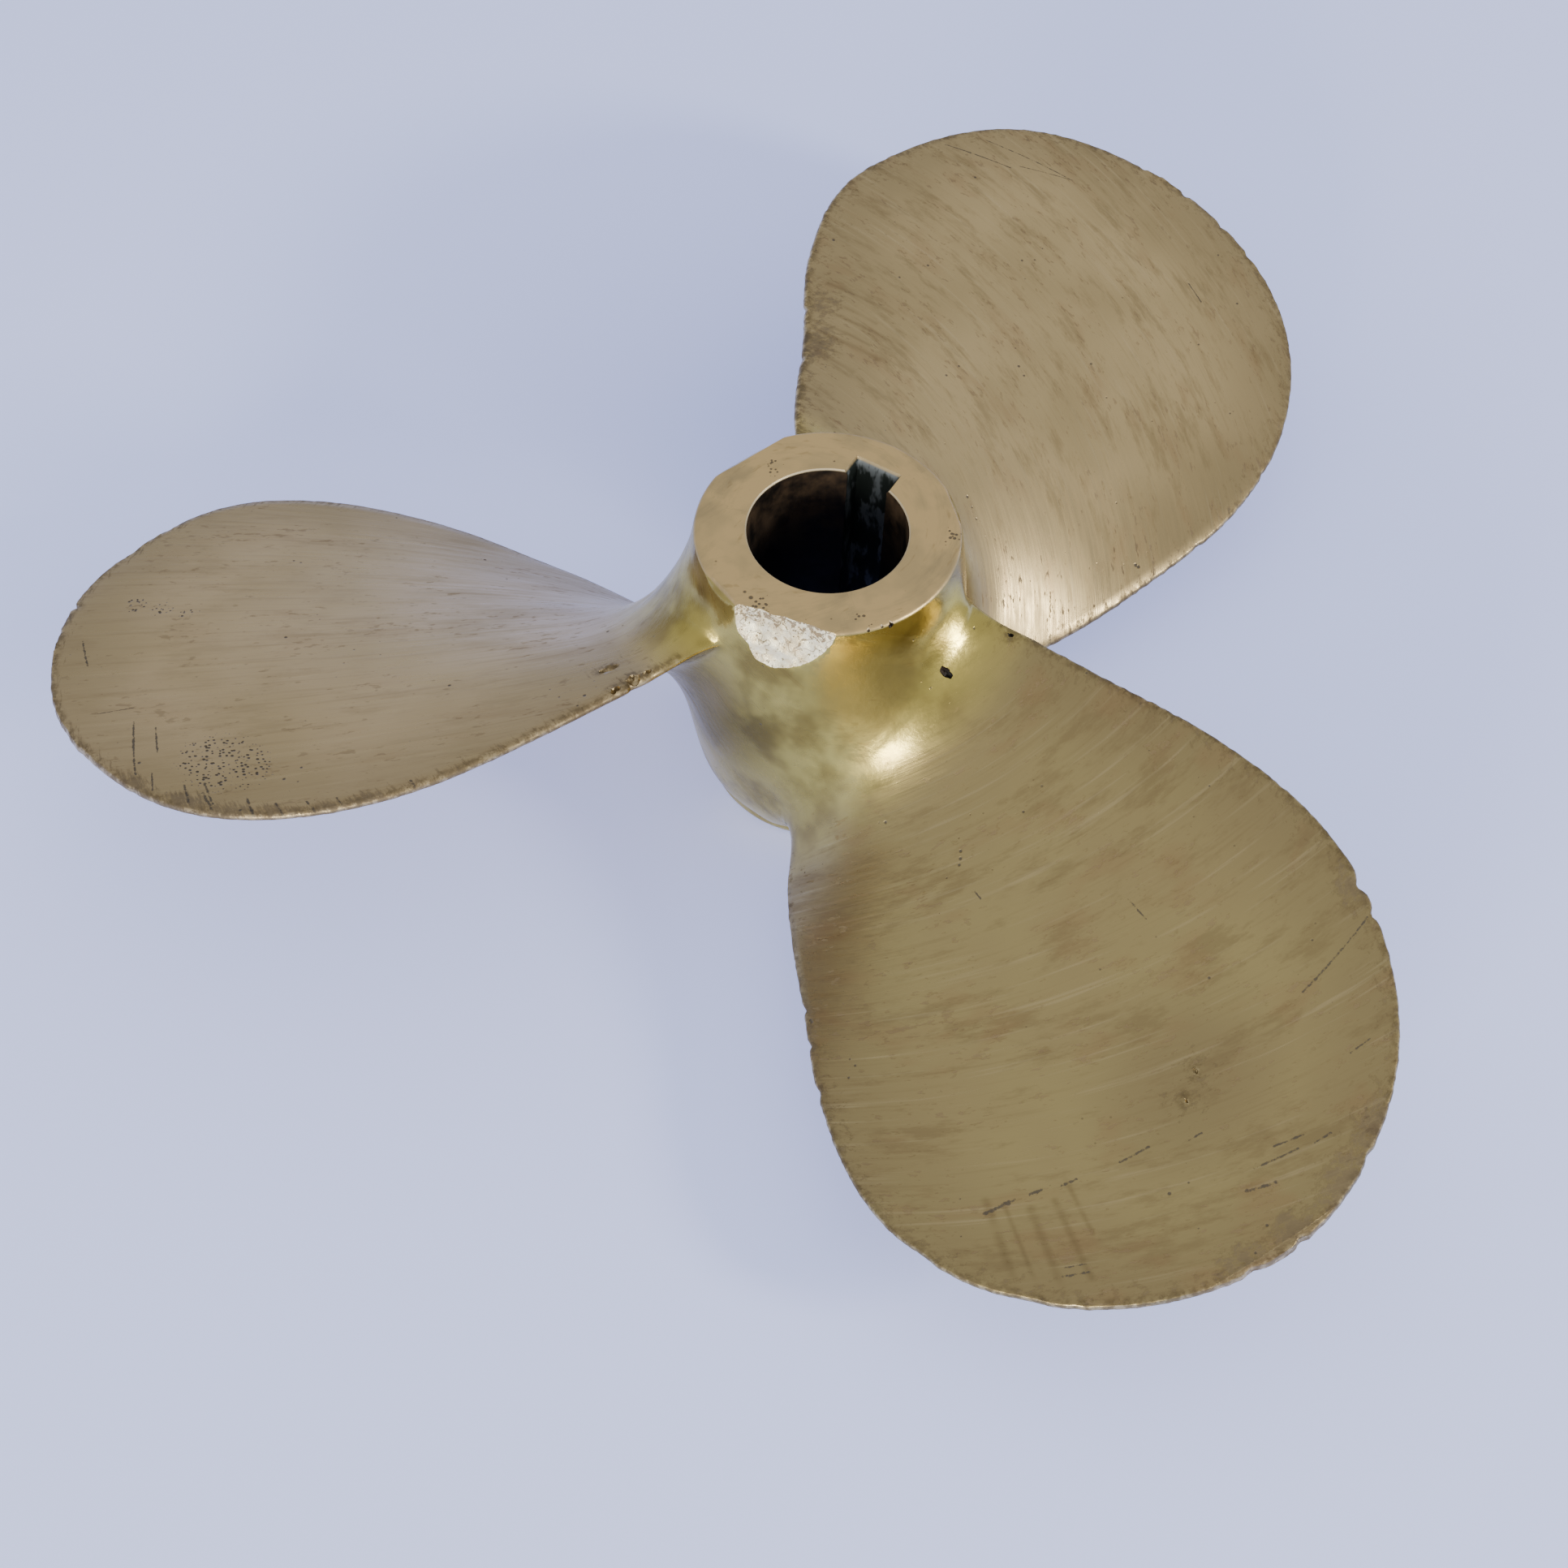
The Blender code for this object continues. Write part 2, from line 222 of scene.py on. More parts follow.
def hub_radius(z):
    """Radius of the hub's barrel-shaped side: widest at the belly, less towards both ends."""
    if z > HUB_BELLY_Z:
        end_z, end_radius = HUB_FORWARD_Z, HUB_FORWARD_RADIUS
    else:
        end_z, end_radius = HUB_AFT_Z, HUB_AFT_RADIUS
    share = (z - HUB_BELLY_Z) / (end_z - HUB_BELLY_Z)
    return HUB_BELLY_RADIUS - (HUB_BELLY_RADIUS - end_radius) * share ** 2


def arc(centre_r, centre_z, radius, start_deg, end_deg, steps):
    """Profile points of an arc, as (r, z) pairs from the start to the end angle."""
    angles = np.radians(np.linspace(start_deg, end_deg, steps + 1))
    return [(centre_r + radius * math.cos(a), centre_z + radius * math.sin(a)) for a in angles]


def hub_profile():
    """The hub's outline from the axis at the forward face, down its side, to the axis aft."""
    forward_round = arc(HUB_FORWARD_RADIUS - FORWARD_EDGE_ROUND, HUB_FORWARD_Z - FORWARD_EDGE_ROUND,
                        FORWARD_EDGE_ROUND, 90, 0, 6)
    aft_round = arc(HUB_AFT_RADIUS - AFT_EDGE_ROUND, HUB_AFT_Z + AFT_EDGE_ROUND,
                    AFT_EDGE_ROUND, 20, -90, 10)
    face_radii = np.linspace(0.016, forward_round[0][0], 9)[:-1]
    aft_radii = np.linspace(aft_round[-1][0], 0.012, 7)[1:]
    steps = 60
    start_z = forward_round[-1][1]
    end_z = aft_round[0][1]
    side = [start_z + (end_z - start_z) * i / steps for i in range(1, steps)]
    profile = [(0.0, HUB_FORWARD_Z)]
    profile += [(r, HUB_FORWARD_Z) for r in face_radii]
    profile += forward_round
    profile += [(hub_radius(z), z) for z in side]
    profile += aft_round
    profile += [(r, HUB_AFT_Z) for r in aft_radii]
    return profile + [(0.0, HUB_AFT_Z)]


def mesh_object(name, vertices, faces):
    mesh = bpy.data.meshes.new(name)
    mesh.from_pydata(vertices, [], faces)
    shape = bmesh.new()
    shape.from_mesh(mesh)
    bmesh.ops.recalc_face_normals(shape, faces=shape.faces)
    shape.to_mesh(mesh)
    shape.free()
    body = bpy.data.objects.new(name, mesh)
    bpy.context.scene.collection.objects.link(body)
    return body


def ring_faces(ring_count, ring_size):
    """Quads between rings of vertices that follow one another in the vertex list."""
    faces = []
    for k in range(ring_count - 1):
        lower = k * ring_size
        upper = lower + ring_size
        for i in range(ring_size):
            j = (i + 1) % ring_size
            faces.append((lower + i, lower + j, upper + j, upper + i))
    return faces


def turned(name, profile, steps):
    """A closed solid of revolution about Z from (r, z) points that start and end on the axis."""
    rings = profile[1:-1]
    turns = [2.0 * math.pi * i / steps for i in range(steps)]
    vertices = [(r * math.cos(a), r * math.sin(a), z) for r, z in rings for a in turns]
    faces = ring_faces(len(rings), steps)
    first_centre = len(vertices)
    vertices.append((0.0, 0.0, profile[0][1]))
    vertices.append((0.0, 0.0, profile[-1][1]))
    last = (len(rings) - 1) * steps
    for i in range(steps):
        j = (i + 1) % steps
        faces.append((first_centre, i, j))
        faces.append((first_centre + 1, last + j, last + i))
    return mesh_object(name, vertices, faces)


def offset_curve(offsets, rho):
    """A smooth curve through an offset table's values at equal steps of rho from 0 to 1."""
    stations = np.linspace(0.0, 1.0, len(offsets))
    return float(np.polyval(np.polyfit(stations, offsets, len(offsets) - 1), rho))


def edge_offsets(rho):
    """Distances from the centre line to the leading and to the trailing edge."""
    closing = math.sqrt(1.0 - rho ** TIP_ROUNDNESS)
    return closing * offset_curve(LEADING_OFFSETS, rho), closing * offset_curve(TRAILING_OFFSETS, rho)


def edge_departure(blade_number, angle_deg):
    """How far a blade's worn edge lies outside its drawn outline, seen from its middle."""
    stops = (0.0,) + EDGE_WEAR[blade_number] + (0.0,)
    place = min(max(angle_deg / WEAR_STEP + 0.5 * (len(stops) - 1), 0.0), len(stops) - 1.001)
    first = int(place)
    blend = place - first
    blend = blend * blend * (3.0 - 2.0 * blend)
    return MM * (stops[first] * (1.0 - blend) + stops[first + 1] * blend)


def edge_damage(blade_number, angle_deg):
    """Depth of the nicks and of the ragged wear in a blade's edge."""
    place = Vector((angle_deg * 0.55, 7.0 * blade_number, 0.0))
    depth = RAGGED_EDGE * (noise.noise(place) + 0.6 * noise.noise(place * 2.7))
    for nick_angle, nick_depth, half_width in EDGE_NICKS[blade_number]:
        reach = abs(angle_deg - nick_angle) / half_width
        if reach < 2.0:
            depth += MM * nick_depth * math.exp(-2.0 * reach * reach)
    return depth


def worn(blade_number, radius, along, rho, side):
    """Moves a point of the drawn outline plane by the wear of the edge nearest to it."""
    angle = math.atan2(along, radius - WEAR_CENTRE_RADIUS)
    angle_deg = math.degrees(angle)
    nearness = 1.0 - (1.0 - side ** 2) * (1.0 - rho ** 6)
    shift = edge_departure(blade_number, angle_deg) * nearness ** 2
    if nearness > 0.6 and radius > DAMAGE_START_RADIUS:
        fade = min((radius - DAMAGE_START_RADIUS) / 0.012, 1.0)
        shift -= fade * edge_damage(blade_number, angle_deg) * nearness ** 14
    return radius + shift * math.cos(angle), along + shift * math.sin(angle)


def helix_slope(radius):
    return math.atan(PITCH / (2.0 * math.pi * radius))


def on_helix(radius, along, across, rho, angle):
    """A point given along a blade's helix from its centre line, and across its thickness."""
    slope = helix_slope(radius)
    turn = angle + (along * math.cos(slope) - across * math.sin(slope)) / radius
    z = along * math.sin(slope) + across * math.cos(slope) + RAKE * rho
    return (radius * math.cos(turn), radius * math.sin(turn), z)


def chord_places(chord):
    """Distances from the trailing edge: close together round both edges, even between."""
    edge_radius = 0.5 * EDGE_THICKNESS
    angles = [0.5 * math.pi * (i + 0.4) / EDGE_ROUND_STEPS for i in range(EDGE_ROUND_STEPS)]
    rounded = [min(edge_radius * (1.0 - math.cos(a)), 0.4 * chord) for a in angles]
    inner = np.linspace(rounded[-1], chord - rounded[-1], SECTION_FACE_STEPS + 2)[1:-1]
    return rounded + list(inner) + [chord - s for s in reversed(rounded)]


def section(blade_number, radius):
    """One closed section of a blade: the forward side to the trailing edge, then back."""
    angle = FIRST_BLADE_ANGLE + blade_number * 2.0 * math.pi / BLADE_COUNT
    rho = min(max((radius - ROOT_RADIUS) / (TIP_RADIUS - ROOT_RADIUS), 0.0), 1.0)
    leading, trailing = edge_offsets(rho)
    chord = leading + trailing
    thickness = ROOT_THICKNESS + (TIP_THICKNESS - ROOT_THICKNESS) * rho ** 0.8
    follow = min(max(1.0 - (radius - HUB_BELLY_RADIUS) / ROOT_BAND, 0.0), 1.0)
    climb = math.sin(helix_slope(radius))
    edge_radius = 0.5 * EDGE_THICKNESS
    forward_side = []
    aft_side = []
    for place in reversed(chord_places(chord)):
        drawn = place - trailing
        side = drawn / leading if drawn > 0.0 else drawn / trailing
        t = 2.0 * place / chord - 1.0
        bulge = 1.0 - t * t
        inset = min(place, chord - place, edge_radius) / edge_radius
        edge = EDGE_THICKNESS * math.sqrt(1.0 - (1.0 - inset) ** 2)
        half = 0.5 * (edge + (thickness - EDGE_THICKNESS) * bulge)
        lean = CAMBER_SHARE * (thickness - EDGE_THICKNESS) * bulge
        here = radius - follow * (HUB_BELLY_RADIUS - hub_radius(drawn * climb))
        r, along = worn(blade_number, here, drawn, rho, side)
        forward_side.append(on_helix(r, along, lean + half, rho, angle))
        aft_side.append(on_helix(r, along, lean - half, rho, angle))
    return forward_side + aft_side[::-1]


def station_radii():
    """Radii of the sections, close together at the root fillet and at the round tip."""
    radii = [HUB_BELLY_RADIUS - ROOT_SINK]
    radii += [HUB_BELLY_RADIUS + ROOT_BAND * i / ROOT_STATIONS for i in range(ROOT_STATIONS + 1)]
    start = radii[-1]
    reach = 0.9999 * TIP_RADIUS - start
    radii += [start + reach * math.sin(0.5 * math.pi * (i + 1) / BLADE_STATIONS)
              for i in range(BLADE_STATIONS)]
    return radii


def blade(blade_number):
    """One blade as a loft of its sections, from inside the hub to the tip."""
    rings = [section(blade_number, r) for r in station_radii()]
    size = len(rings[0])
    faces = ring_faces(len(rings), size)
    for start in (0, (len(rings) - 1) * size):
        for i in range(size // 2 - 1):
            faces.append((start + i, start + i + 1, start + size - 2 - i, start + size - 1 - i))
    return mesh_object(f"blade_{blade_number + 1}", [p for ring in rings for p in ring], faces)


def bore_cutter():
    """The tapered bore with a fine chamfer at the forward face, run past both ends."""
    past = 0.010
    half_taper = 0.5 * BORE_TAPER
    bottom = HUB_AFT_Z - past
    chamfer_z = HUB_FORWARD_Z - BORE_CHAMFER
    profile = [(0.0, HUB_FORWARD_Z + past)]
    profile.append((BORE_FORWARD_RADIUS + BORE_CHAMFER + past, HUB_FORWARD_Z + past))
    for z in np.linspace(chamfer_z, bottom, 40):
        profile.append((BORE_FORWARD_RADIUS - half_taper * (HUB_FORWARD_Z - z), z))
    profile.append((0.0, bottom))
    return turned("bore_cutter", profile, HUB_FACETS)


def keyway_cutter():
    """A bar whose outer side is the keyway's floor, following the bore's taper."""
    half = 0.5 * KEYWAY_WIDTH
    rings = []
    for z in np.linspace(HUB_FORWARD_Z + 0.010, HUB_AFT_Z - 0.010, 40):
        floor = BORE_FORWARD_RADIUS + KEYWAY_DEPTH - 0.5 * BORE_TAPER * (HUB_FORWARD_Z - z)
        opening = max(z - HUB_FORWARD_Z + 0.0003, 0.0)
        x = half + opening
        rings.append([(x, 0.005, z), (x, floor + opening, z), (-x, floor + opening, z), (-x, 0.005, z)])
    faces = ring_faces(len(rings), 4)
    last = (len(rings) - 1) * 4
    faces.append((0, 1, 2, 3))
    faces.append((last + 3, last + 2, last + 1, last))
    return mesh_object("keyway_cutter", [p for ring in rings for p in ring], faces)


def facet_frame(azimuth_deg, tilt_deg, face_distance):
    """Origin, sideways, downhill and outward directions of a flat place on the rim."""
    azimuth = math.radians(azimuth_deg)
    tilt = math.radians(tilt_deg)
    outwards = Vector((math.cos(azimuth), math.sin(azimuth), 0.0))
    sideways = Vector((-math.sin(azimuth), math.cos(azimuth), 0.0))
    normal = math.cos(tilt) * outwards + Vector((0.0, 0.0, math.sin(tilt)))
    downhill = sideways.cross(normal)
    if downhill.z > 0.0:
        downhill = -downhill
    origin = face_distance * outwards + Vector((0.0, 0.0, HUB_FORWARD_Z))
    return origin, sideways, downhill, normal


def rough_slab(name, facet, half_width, half_height, step, surface):
    """A slab outside a facet, whose inner side is the height surface(sideways, downhill)."""
    origin, sideways, downhill, normal = facet_frame(*facet)
    columns = int(2.0 * half_width / step)
    rows = int(2.0 * half_height / step)
    vertices = []
    for lift in (None, 0.012):
        for j in range(rows + 1):
            for i in range(columns + 1):
                x = -half_width + 2.0 * half_width * i / columns
                y = -half_height + 2.0 * half_height * j / rows
                height = surface(x, y) if lift is None else lift
                vertices.append(origin + x * sideways + y * downhill + height * normal)
    size = (rows + 1) * (columns + 1)
    across = columns + 1
    faces = []
    for j in range(rows):
        for i in range(columns):
            a = j * across + i
            faces.append((a, a + 1, a + 1 + across, a + across))
            faces.append((size + a, size + a + across, size + a + across + 1, size + a + 1))
    rim = [i for i in range(across)]
    rim += [j * across + columns for j in range(1, rows + 1)]
    rim += [rows * across + i for i in range(columns - 1, -1, -1)]
    rim += [j * across for j in range(rows - 1, 0, -1)]
    for a, b in zip(rim, rim[1:] + rim[:1]):
        faces.append((a, b, size + b, size + a))
    return mesh_object(name, vertices, faces)


def bowl(x, y, centre_x, centre_y, half_width, half_height):
    """1 in the middle of an oval, falling to 0 at its border."""
    reach = ((x - centre_x) / half_width) ** 2 + ((y - centre_y) / half_height) ** 2
    return max(0.0, 1.0 - reach)


def fractured(x, y):
    """Height of the broken rim's surface: two scoops, steps and grain."""
    place = Vector((x, y, 0.0)) / MM
    steps = 0.50 * abs(noise.noise(place / 6.5)) + 0.22 * noise.noise(place / 2.6)
    grain = 0.10 * noise.noise(place / 0.9)
    away = max(0.0, abs(x) - FRACTURE_HALF_WIDTH) / MM
    scoops = 0.9 * bowl(x, y, 0.000, 0.006, 0.013, 0.008)
    scoops += 0.9 * bowl(x, y, -0.009, 0.004, 0.006, 0.007)
    scoops += 1.0 * bowl(x, y, -0.0045, 0.0130, 0.0080, 0.0036)
    return MM * (steps + grain + 0.15 - scoops) + MM * 0.35 * away ** 1.5


def hammered(x, y):
    """Height of a flat on the rim: nearly even."""
    place = Vector((x, y, 3.0 * MM)) / MM
    return MM * 0.12 * noise.noise(place / 4.0)


def dent_cutter(body, place, length, width, depth):
    """An uneven ellipsoid that sinks by its depth into the body's surface nearest to a place."""
    mesh = body.data
    places = np.empty(len(mesh.vertices) * 3)
    mesh.vertices.foreach_get("co", places)
    nearest = int(np.argmin(((places.reshape(-1, 3) - np.array(place)) ** 2).sum(axis=1)))
    centre = mesh.vertices[nearest].co.copy()
    normal = mesh.vertex_normals[nearest].vector.copy()
    outwards = Vector((centre.x, centre.y, 0.0))
    lengthways = (outwards - outwards.dot(normal) * normal).normalized()
    sideways = normal.cross(lengthways)
    columns = 20
    rows = 11
    vertices = []
    for j in range(rows):
        lift = math.pi * (j + 0.5) / rows
        for i in range(columns):
            turn = 2.0 * math.pi * i / columns
            point = Vector((math.sin(lift) * math.cos(turn), math.sin(lift) * math.sin(turn), math.cos(lift)))
            point *= 1.0 + 0.35 * noise.noise(point * 1.7 + centre / 0.002)
            offset = 0.5 * length * point.x * lengthways + 0.5 * width * point.y * sideways
            vertices.append(centre + MM * (offset + 2.0 * depth * (point.z + 0.55) * normal))
    faces = ring_faces(rows, columns)
    faces.append(tuple(range(columns)))
    faces.append(tuple((rows - 1) * columns + i for i in reversed(range(columns))))
    return mesh_object("dent", vertices, faces)


def boolean(body, operation, other, solver="MANIFOLD"):
    """Applies one Boolean to the body's mesh and removes the other solid."""
    step = body.modifiers.new(other.name, "BOOLEAN")
    step.operation = operation
    step.solver = solver
    step.material_mode = "TRANSFER"
    step.object = other
    graph = bpy.context.evaluated_depsgraph_get()
    mesh = bpy.data.meshes.new_from_object(body.evaluated_get(graph))
    body.modifiers.clear()
    body.data = mesh
    bpy.data.objects.remove(other, do_unlink=True)


def smooth_step(value):
    share = np.clip(value, 0.0, 1.0)
    return share * share * (3.0 - 2.0 * share)


def hub_radii(z):
    """hub_radius for an array of heights."""
    end_z = np.where(z > HUB_BELLY_Z, HUB_FORWARD_Z, HUB_AFT_Z)
    end_radius = np.where(z > HUB_BELLY_Z, HUB_FORWARD_RADIUS, HUB_AFT_RADIUS)
    share = (z - HUB_BELLY_Z) / (end_z - HUB_BELLY_Z)
    return HUB_BELLY_RADIUS - (HUB_BELLY_RADIUS - end_radius) * share ** 2


def blade_place(points, number):
    """Radius, distance along the helix and distance across it of points, for one blade."""
    radius = np.hypot(points[:, 0], points[:, 1])
    angle = FIRST_BLADE_ANGLE + number * 2.0 * math.pi / BLADE_COUNT
    turn = np.arctan2(points[:, 1], points[:, 0]) - angle
    turn = (turn + math.pi) % (2.0 * math.pi) - math.pi
    rho = np.clip((radius - ROOT_RADIUS) / (TIP_RADIUS - ROOT_RADIUS), 0.0, 1.0)
    slope = np.arctan(PITCH / (2.0 * math.pi * radius))
    height = points[:, 2] - RAKE * rho
    along = turn * radius * np.cos(slope) + height * np.sin(slope)
    across = height * np.cos(slope) - turn * radius * np.sin(slope)
    return radius, along, across, rho


def edge_offset_arrays(rho):
    """edge_offsets for an array of shares of the radius."""
    closing = np.sqrt(1.0 - rho ** TIP_ROUNDNESS)
    stations = np.linspace(0.0, 1.0, len(LEADING_OFFSETS))
    curves = [np.polyfit(stations, t, len(t) - 1) for t in (LEADING_OFFSETS, TRAILING_OFFSETS)]
    return closing * np.polyval(curves[0], rho), closing * np.polyval(curves[1], rho)


def blade_distance(points, number):
    """Rough distance of points outside a blade, and how far each blend reaches there."""
    radius, along, across, rho = blade_place(points, number)
    leading, trailing = edge_offset_arrays(rho)
    edge_radius = 0.5 * EDGE_THICKNESS
    inner = np.clip(along, edge_radius - trailing, leading - edge_radius)
    t = 2.0 * (inner + trailing) / (leading + trailing) - 1.0
    bulge = 1.0 - t * t
    thickness = ROOT_THICKNESS + (TIP_THICKNESS - ROOT_THICKNESS) * rho ** 0.8
    half = edge_radius + 0.5 * (thickness - EDGE_THICKNESS) * bulge
    side = across - CAMBER_SHARE * (thickness - EDGE_THICKNESS) * bulge
    distance = np.hypot(along - inner, side) - half
    flank = smooth_step(0.5 + side / 0.004)
    middle = AFT_BLEND[0] + (FORWARD_BLEND[0] - AFT_BLEND[0]) * flank
    edge = AFT_BLEND[1] + (FORWARD_BLEND[1] - AFT_BLEND[1]) * flank
    return distance, edge + (middle - edge) * bulge


def root_field(points, blended):
    """Distance outside the hub and blades together, with soft or sharp joints."""
    field = np.hypot(points[:, 0], points[:, 1]) - hub_radii(points[:, 2])
    fade = smooth_step((HUB_FORWARD_Z - 0.0015 - points[:, 2]) / 0.010)
    fade = fade * smooth_step((points[:, 2] - HUB_AFT_Z - 0.0005) / 0.006)
    for number in range(BLADE_COUNT):
        distance, reach = blade_distance(points, number)
        reach = np.maximum(reach * fade, 1e-6)
        meeting = np.clip(reach - np.abs(field - distance), 0.0, None) / reach
        field = np.minimum(field, distance)
        if blended:
            field = field - 0.25 * meeting ** 2 * reach
    return field


def field_slope(points):
    """Gradient of the blended field, by small steps to both sides."""
    step = 0.00005
    slope = np.zeros_like(points)
    for axis in range(3):
        shift = np.zeros(3)
        shift[axis] = step
        slope[:, axis] = root_field(points + shift, True) - root_field(points - shift, True)
    return slope / (2.0 * step)


def blend_roots(body):
    """Moves the points near the joints of hub and blades onto their soft blend."""
    mesh = body.data
    places = np.empty(len(mesh.vertices) * 3)
    mesh.vertices.foreach_get("co", places)
    places = places.reshape(-1, 3)
    radius = np.hypot(places[:, 0], places[:, 1])
    near = (radius < HUB_BELLY_RADIUS + ROOT_BAND) & (radius > HUB_AFT_RADIUS - 0.002)
    near &= (places[:, 2] < HUB_FORWARD_Z - 0.0005) & (places[:, 2] > HUB_AFT_Z + 0.0005)
    moved = places[near]
    target = root_field(moved, False)
    for _ in range(6):
        slope = field_slope(moved)
        steepness = np.maximum((slope ** 2).sum(axis=1), 0.2)
        miss = root_field(moved, True) - target
        moved = moved - np.clip(miss / steepness, -0.002, 0.002)[:, None] * slope
    places[near] = moved
    mesh.vertices.foreach_set("co", places.ravel())
    mesh.update()


def smooth_roots(body):
    """Evens out the small creases that the joints of hub and blades leave in the mesh."""
    mesh = body.data
    places = np.empty(len(mesh.vertices) * 3)
    ends = np.empty(len(mesh.edges) * 2, dtype=int)
    mesh.vertices.foreach_get("co", places)
    mesh.edges.foreach_get("vertices", ends)
    places = places.reshape(-1, 3)
    first, second = ends.reshape(-1, 2).T
    neighbours = np.bincount(np.concatenate([first, second]), minlength=len(places))
    radius = np.hypot(places[:, 0], places[:, 1])
    pull = 1.0 - smooth_step((radius - HUB_BELLY_RADIUS - 0.006) / 0.012)
    pull *= smooth_step((HUB_FORWARD_Z - 0.0015 - places[:, 2]) / 0.004)
    pull *= smooth_step((places[:, 2] - HUB_AFT_Z - 0.004) / 0.004)
    pull = 0.6 * pull[:, None]
    for _ in range(ROOT_SMOOTHING):
        total = np.zeros_like(places)
        np.add.at(total, first, places[second])
        np.add.at(total, second, places[first])
        places += pull * (total / neighbours[:, None] - places)
    mesh.vertices.foreach_set("co", places.ravel())
    mesh.update()


def make_uneven(body):
    """Gives the cast and hand-dressed surfaces their faint waves."""
    mesh = body.data
    places = [vertex.co.copy() for vertex in mesh.vertices]
    normals = [normal.vector.copy() for normal in mesh.vertex_normals]
    moved = []
    for place, normal in zip(places, normals):
        radius = math.hypot(place.x, place.y)
        cast = 1.0 - min(max((radius - HUB_BELLY_RADIUS) / 0.030, 0.0), 1.0)
        below_face = min(max((HUB_FORWARD_Z - place.z) / 0.006, 0.0), 1.0)
        above_base = min(max((place.z - HUB_AFT_Z) / 0.004, 0.0), 1.0)
        wave = 0.10 * noise.noise(place / 0.028) + 0.035 * noise.noise(place / 0.009)
        wave += cast * (0.10 * noise.noise(place / 0.012) + 0.05 * noise.noise(place / 0.005))
        moved.extend(place + normal * (MM * wave * below_face * above_base))
    mesh.vertices.foreach_set("co", moved)
    mesh.update()


def coated(body, material):
    """Gives all faces of a body one material."""
    body.data.materials.clear()
    body.data.materials.append(material)
    return body


def propeller():
    """The whole casting; faces cut open by damage or by the bore carry their own material."""
    satin = satin_bronze("hub_bronze", None)
    broken = broken_bronze_and_highlight()
    dark = shaded_bore_metal()
    casting = coated(turned("cast_propeller", hub_profile(), HUB_FACETS), satin)
    for number in range(BLADE_COUNT):
        metal = satin_bronze(f"blade_bronze_{number + 1}", number)
        boolean(casting, "UNION", coated(blade(number), metal))
    blend_roots(casting)
    smooth_roots(casting)
    make_uneven(casting)
    fracture = rough_slab("fracture", FRACTURE, 0.022, 0.024, 0.0006, fractured)
    boolean(casting, "DIFFERENCE", coated(fracture, broken))
    for number, flat in enumerate(RIM_FLATS):
        slab = rough_slab(f"rim_flat_{number}", flat, 0.017, 0.006, 0.0010, hammered)
        boolean(casting, "DIFFERENCE", coated(slab, satin))
    # Dents on the hub take the bore's nearly black metal: dark tarnish with painted shade inside them
    for place, length, width, depth in DENTS:
        cutter = dent_cutter(casting, Vector(place) * MM, length, width, depth)
        boolean(casting, "DIFFERENCE", coated(cutter, dark))
    for number, radius, along, length, width, depth in BLADE_DENTS:
        angle = FIRST_BLADE_ANGLE + number * 2.0 * math.pi / BLADE_COUNT
        rho = (radius * MM - ROOT_RADIUS) / (TIP_RADIUS - ROOT_RADIUS)
        place = on_helix(radius * MM, along * MM, 0.004, rho, angle)
        cutter = dent_cutter(casting, place, length, width, depth)
        boolean(casting, "DIFFERENCE", coated(cutter, satin))
    boolean(casting, "DIFFERENCE", coated(keyway_cutter(), keyway_metal_shade_and_glint()))
    boolean(casting, "DIFFERENCE", coated(bore_cutter(), dark))
    casting.data.shade_smooth()
    casting.data.set_sharp_from_angle(angle=math.radians(38.0))
    write_charts(casting)
    return casting


def store(mesh, name, kind, values):
    """Writes one value or vector per vertex under a name that the materials read."""
    layer = mesh.attributes.new(name, kind, "POINT")
    layer.data.foreach_set("value" if kind == "FLOAT" else "vector", values.ravel())


def write_charts(body):
    """Writes where each vertex lies on its blade, for the brushing, wear and marks."""
    mesh = body.data
    places = np.empty(len(mesh.vertices) * 3)
    normals = np.empty(len(mesh.vertices) * 3)
    mesh.vertices.foreach_get("co", places)
    mesh.vertex_normals.foreach_get("vector", normals)
    places = places.reshape(-1, 3)
    normals = normals.reshape(-1, 3)
    distances = [blade_distance(places, number)[0] for number in range(BLADE_COUNT)]
    blade_number = np.argmin(distances, axis=0)
    radius = np.hypot(places[:, 0], places[:, 1])
    along = np.zeros(len(places))
    for number in range(BLADE_COUNT):
        mine = blade_number == number
        along[mine] = blade_place(places[mine], number)[1]
    turn = np.radians(np.array(BRUSHING_DEG))[blade_number]
    lengthways = radius * np.cos(turn) + along * np.sin(turn)
    sideways = along * np.cos(turn) - radius * np.sin(turn)
    slope = np.arctan(PITCH / (2.0 * math.pi * radius))
    round_axis = (normals[:, 1] * places[:, 0] - normals[:, 0] * places[:, 1]) / radius
    facing = normals[:, 2] * np.cos(slope) - round_axis * np.sin(slope)
    tree = kdtree.KDTree(len(places))
    for i in np.nonzero((np.abs(facing) < 0.5) & (radius > DAMAGE_START_RADIUS))[0]:
        tree.insert(places[i], int(i))
    tree.balance()
    edge_gap = np.array([tree.find(place)[2] for place in places])
    hub_share = 1.0 - smooth_step((radius - HUB_BELLY_RADIUS - 0.003) / 0.020)
    store(mesh, "chart", "FLOAT_VECTOR", np.stack([radius, along, blade_number], axis=1))
    brush = np.stack([lengthways, sideways, 0.37 * blade_number], axis=1)
    store(mesh, "brush", "FLOAT_VECTOR", brush)
    store(mesh, "facing", "FLOAT", facing)
    store(mesh, "edge_gap", "FLOAT", edge_gap)
    store(mesh, "hub_share", "FLOAT", hub_share)


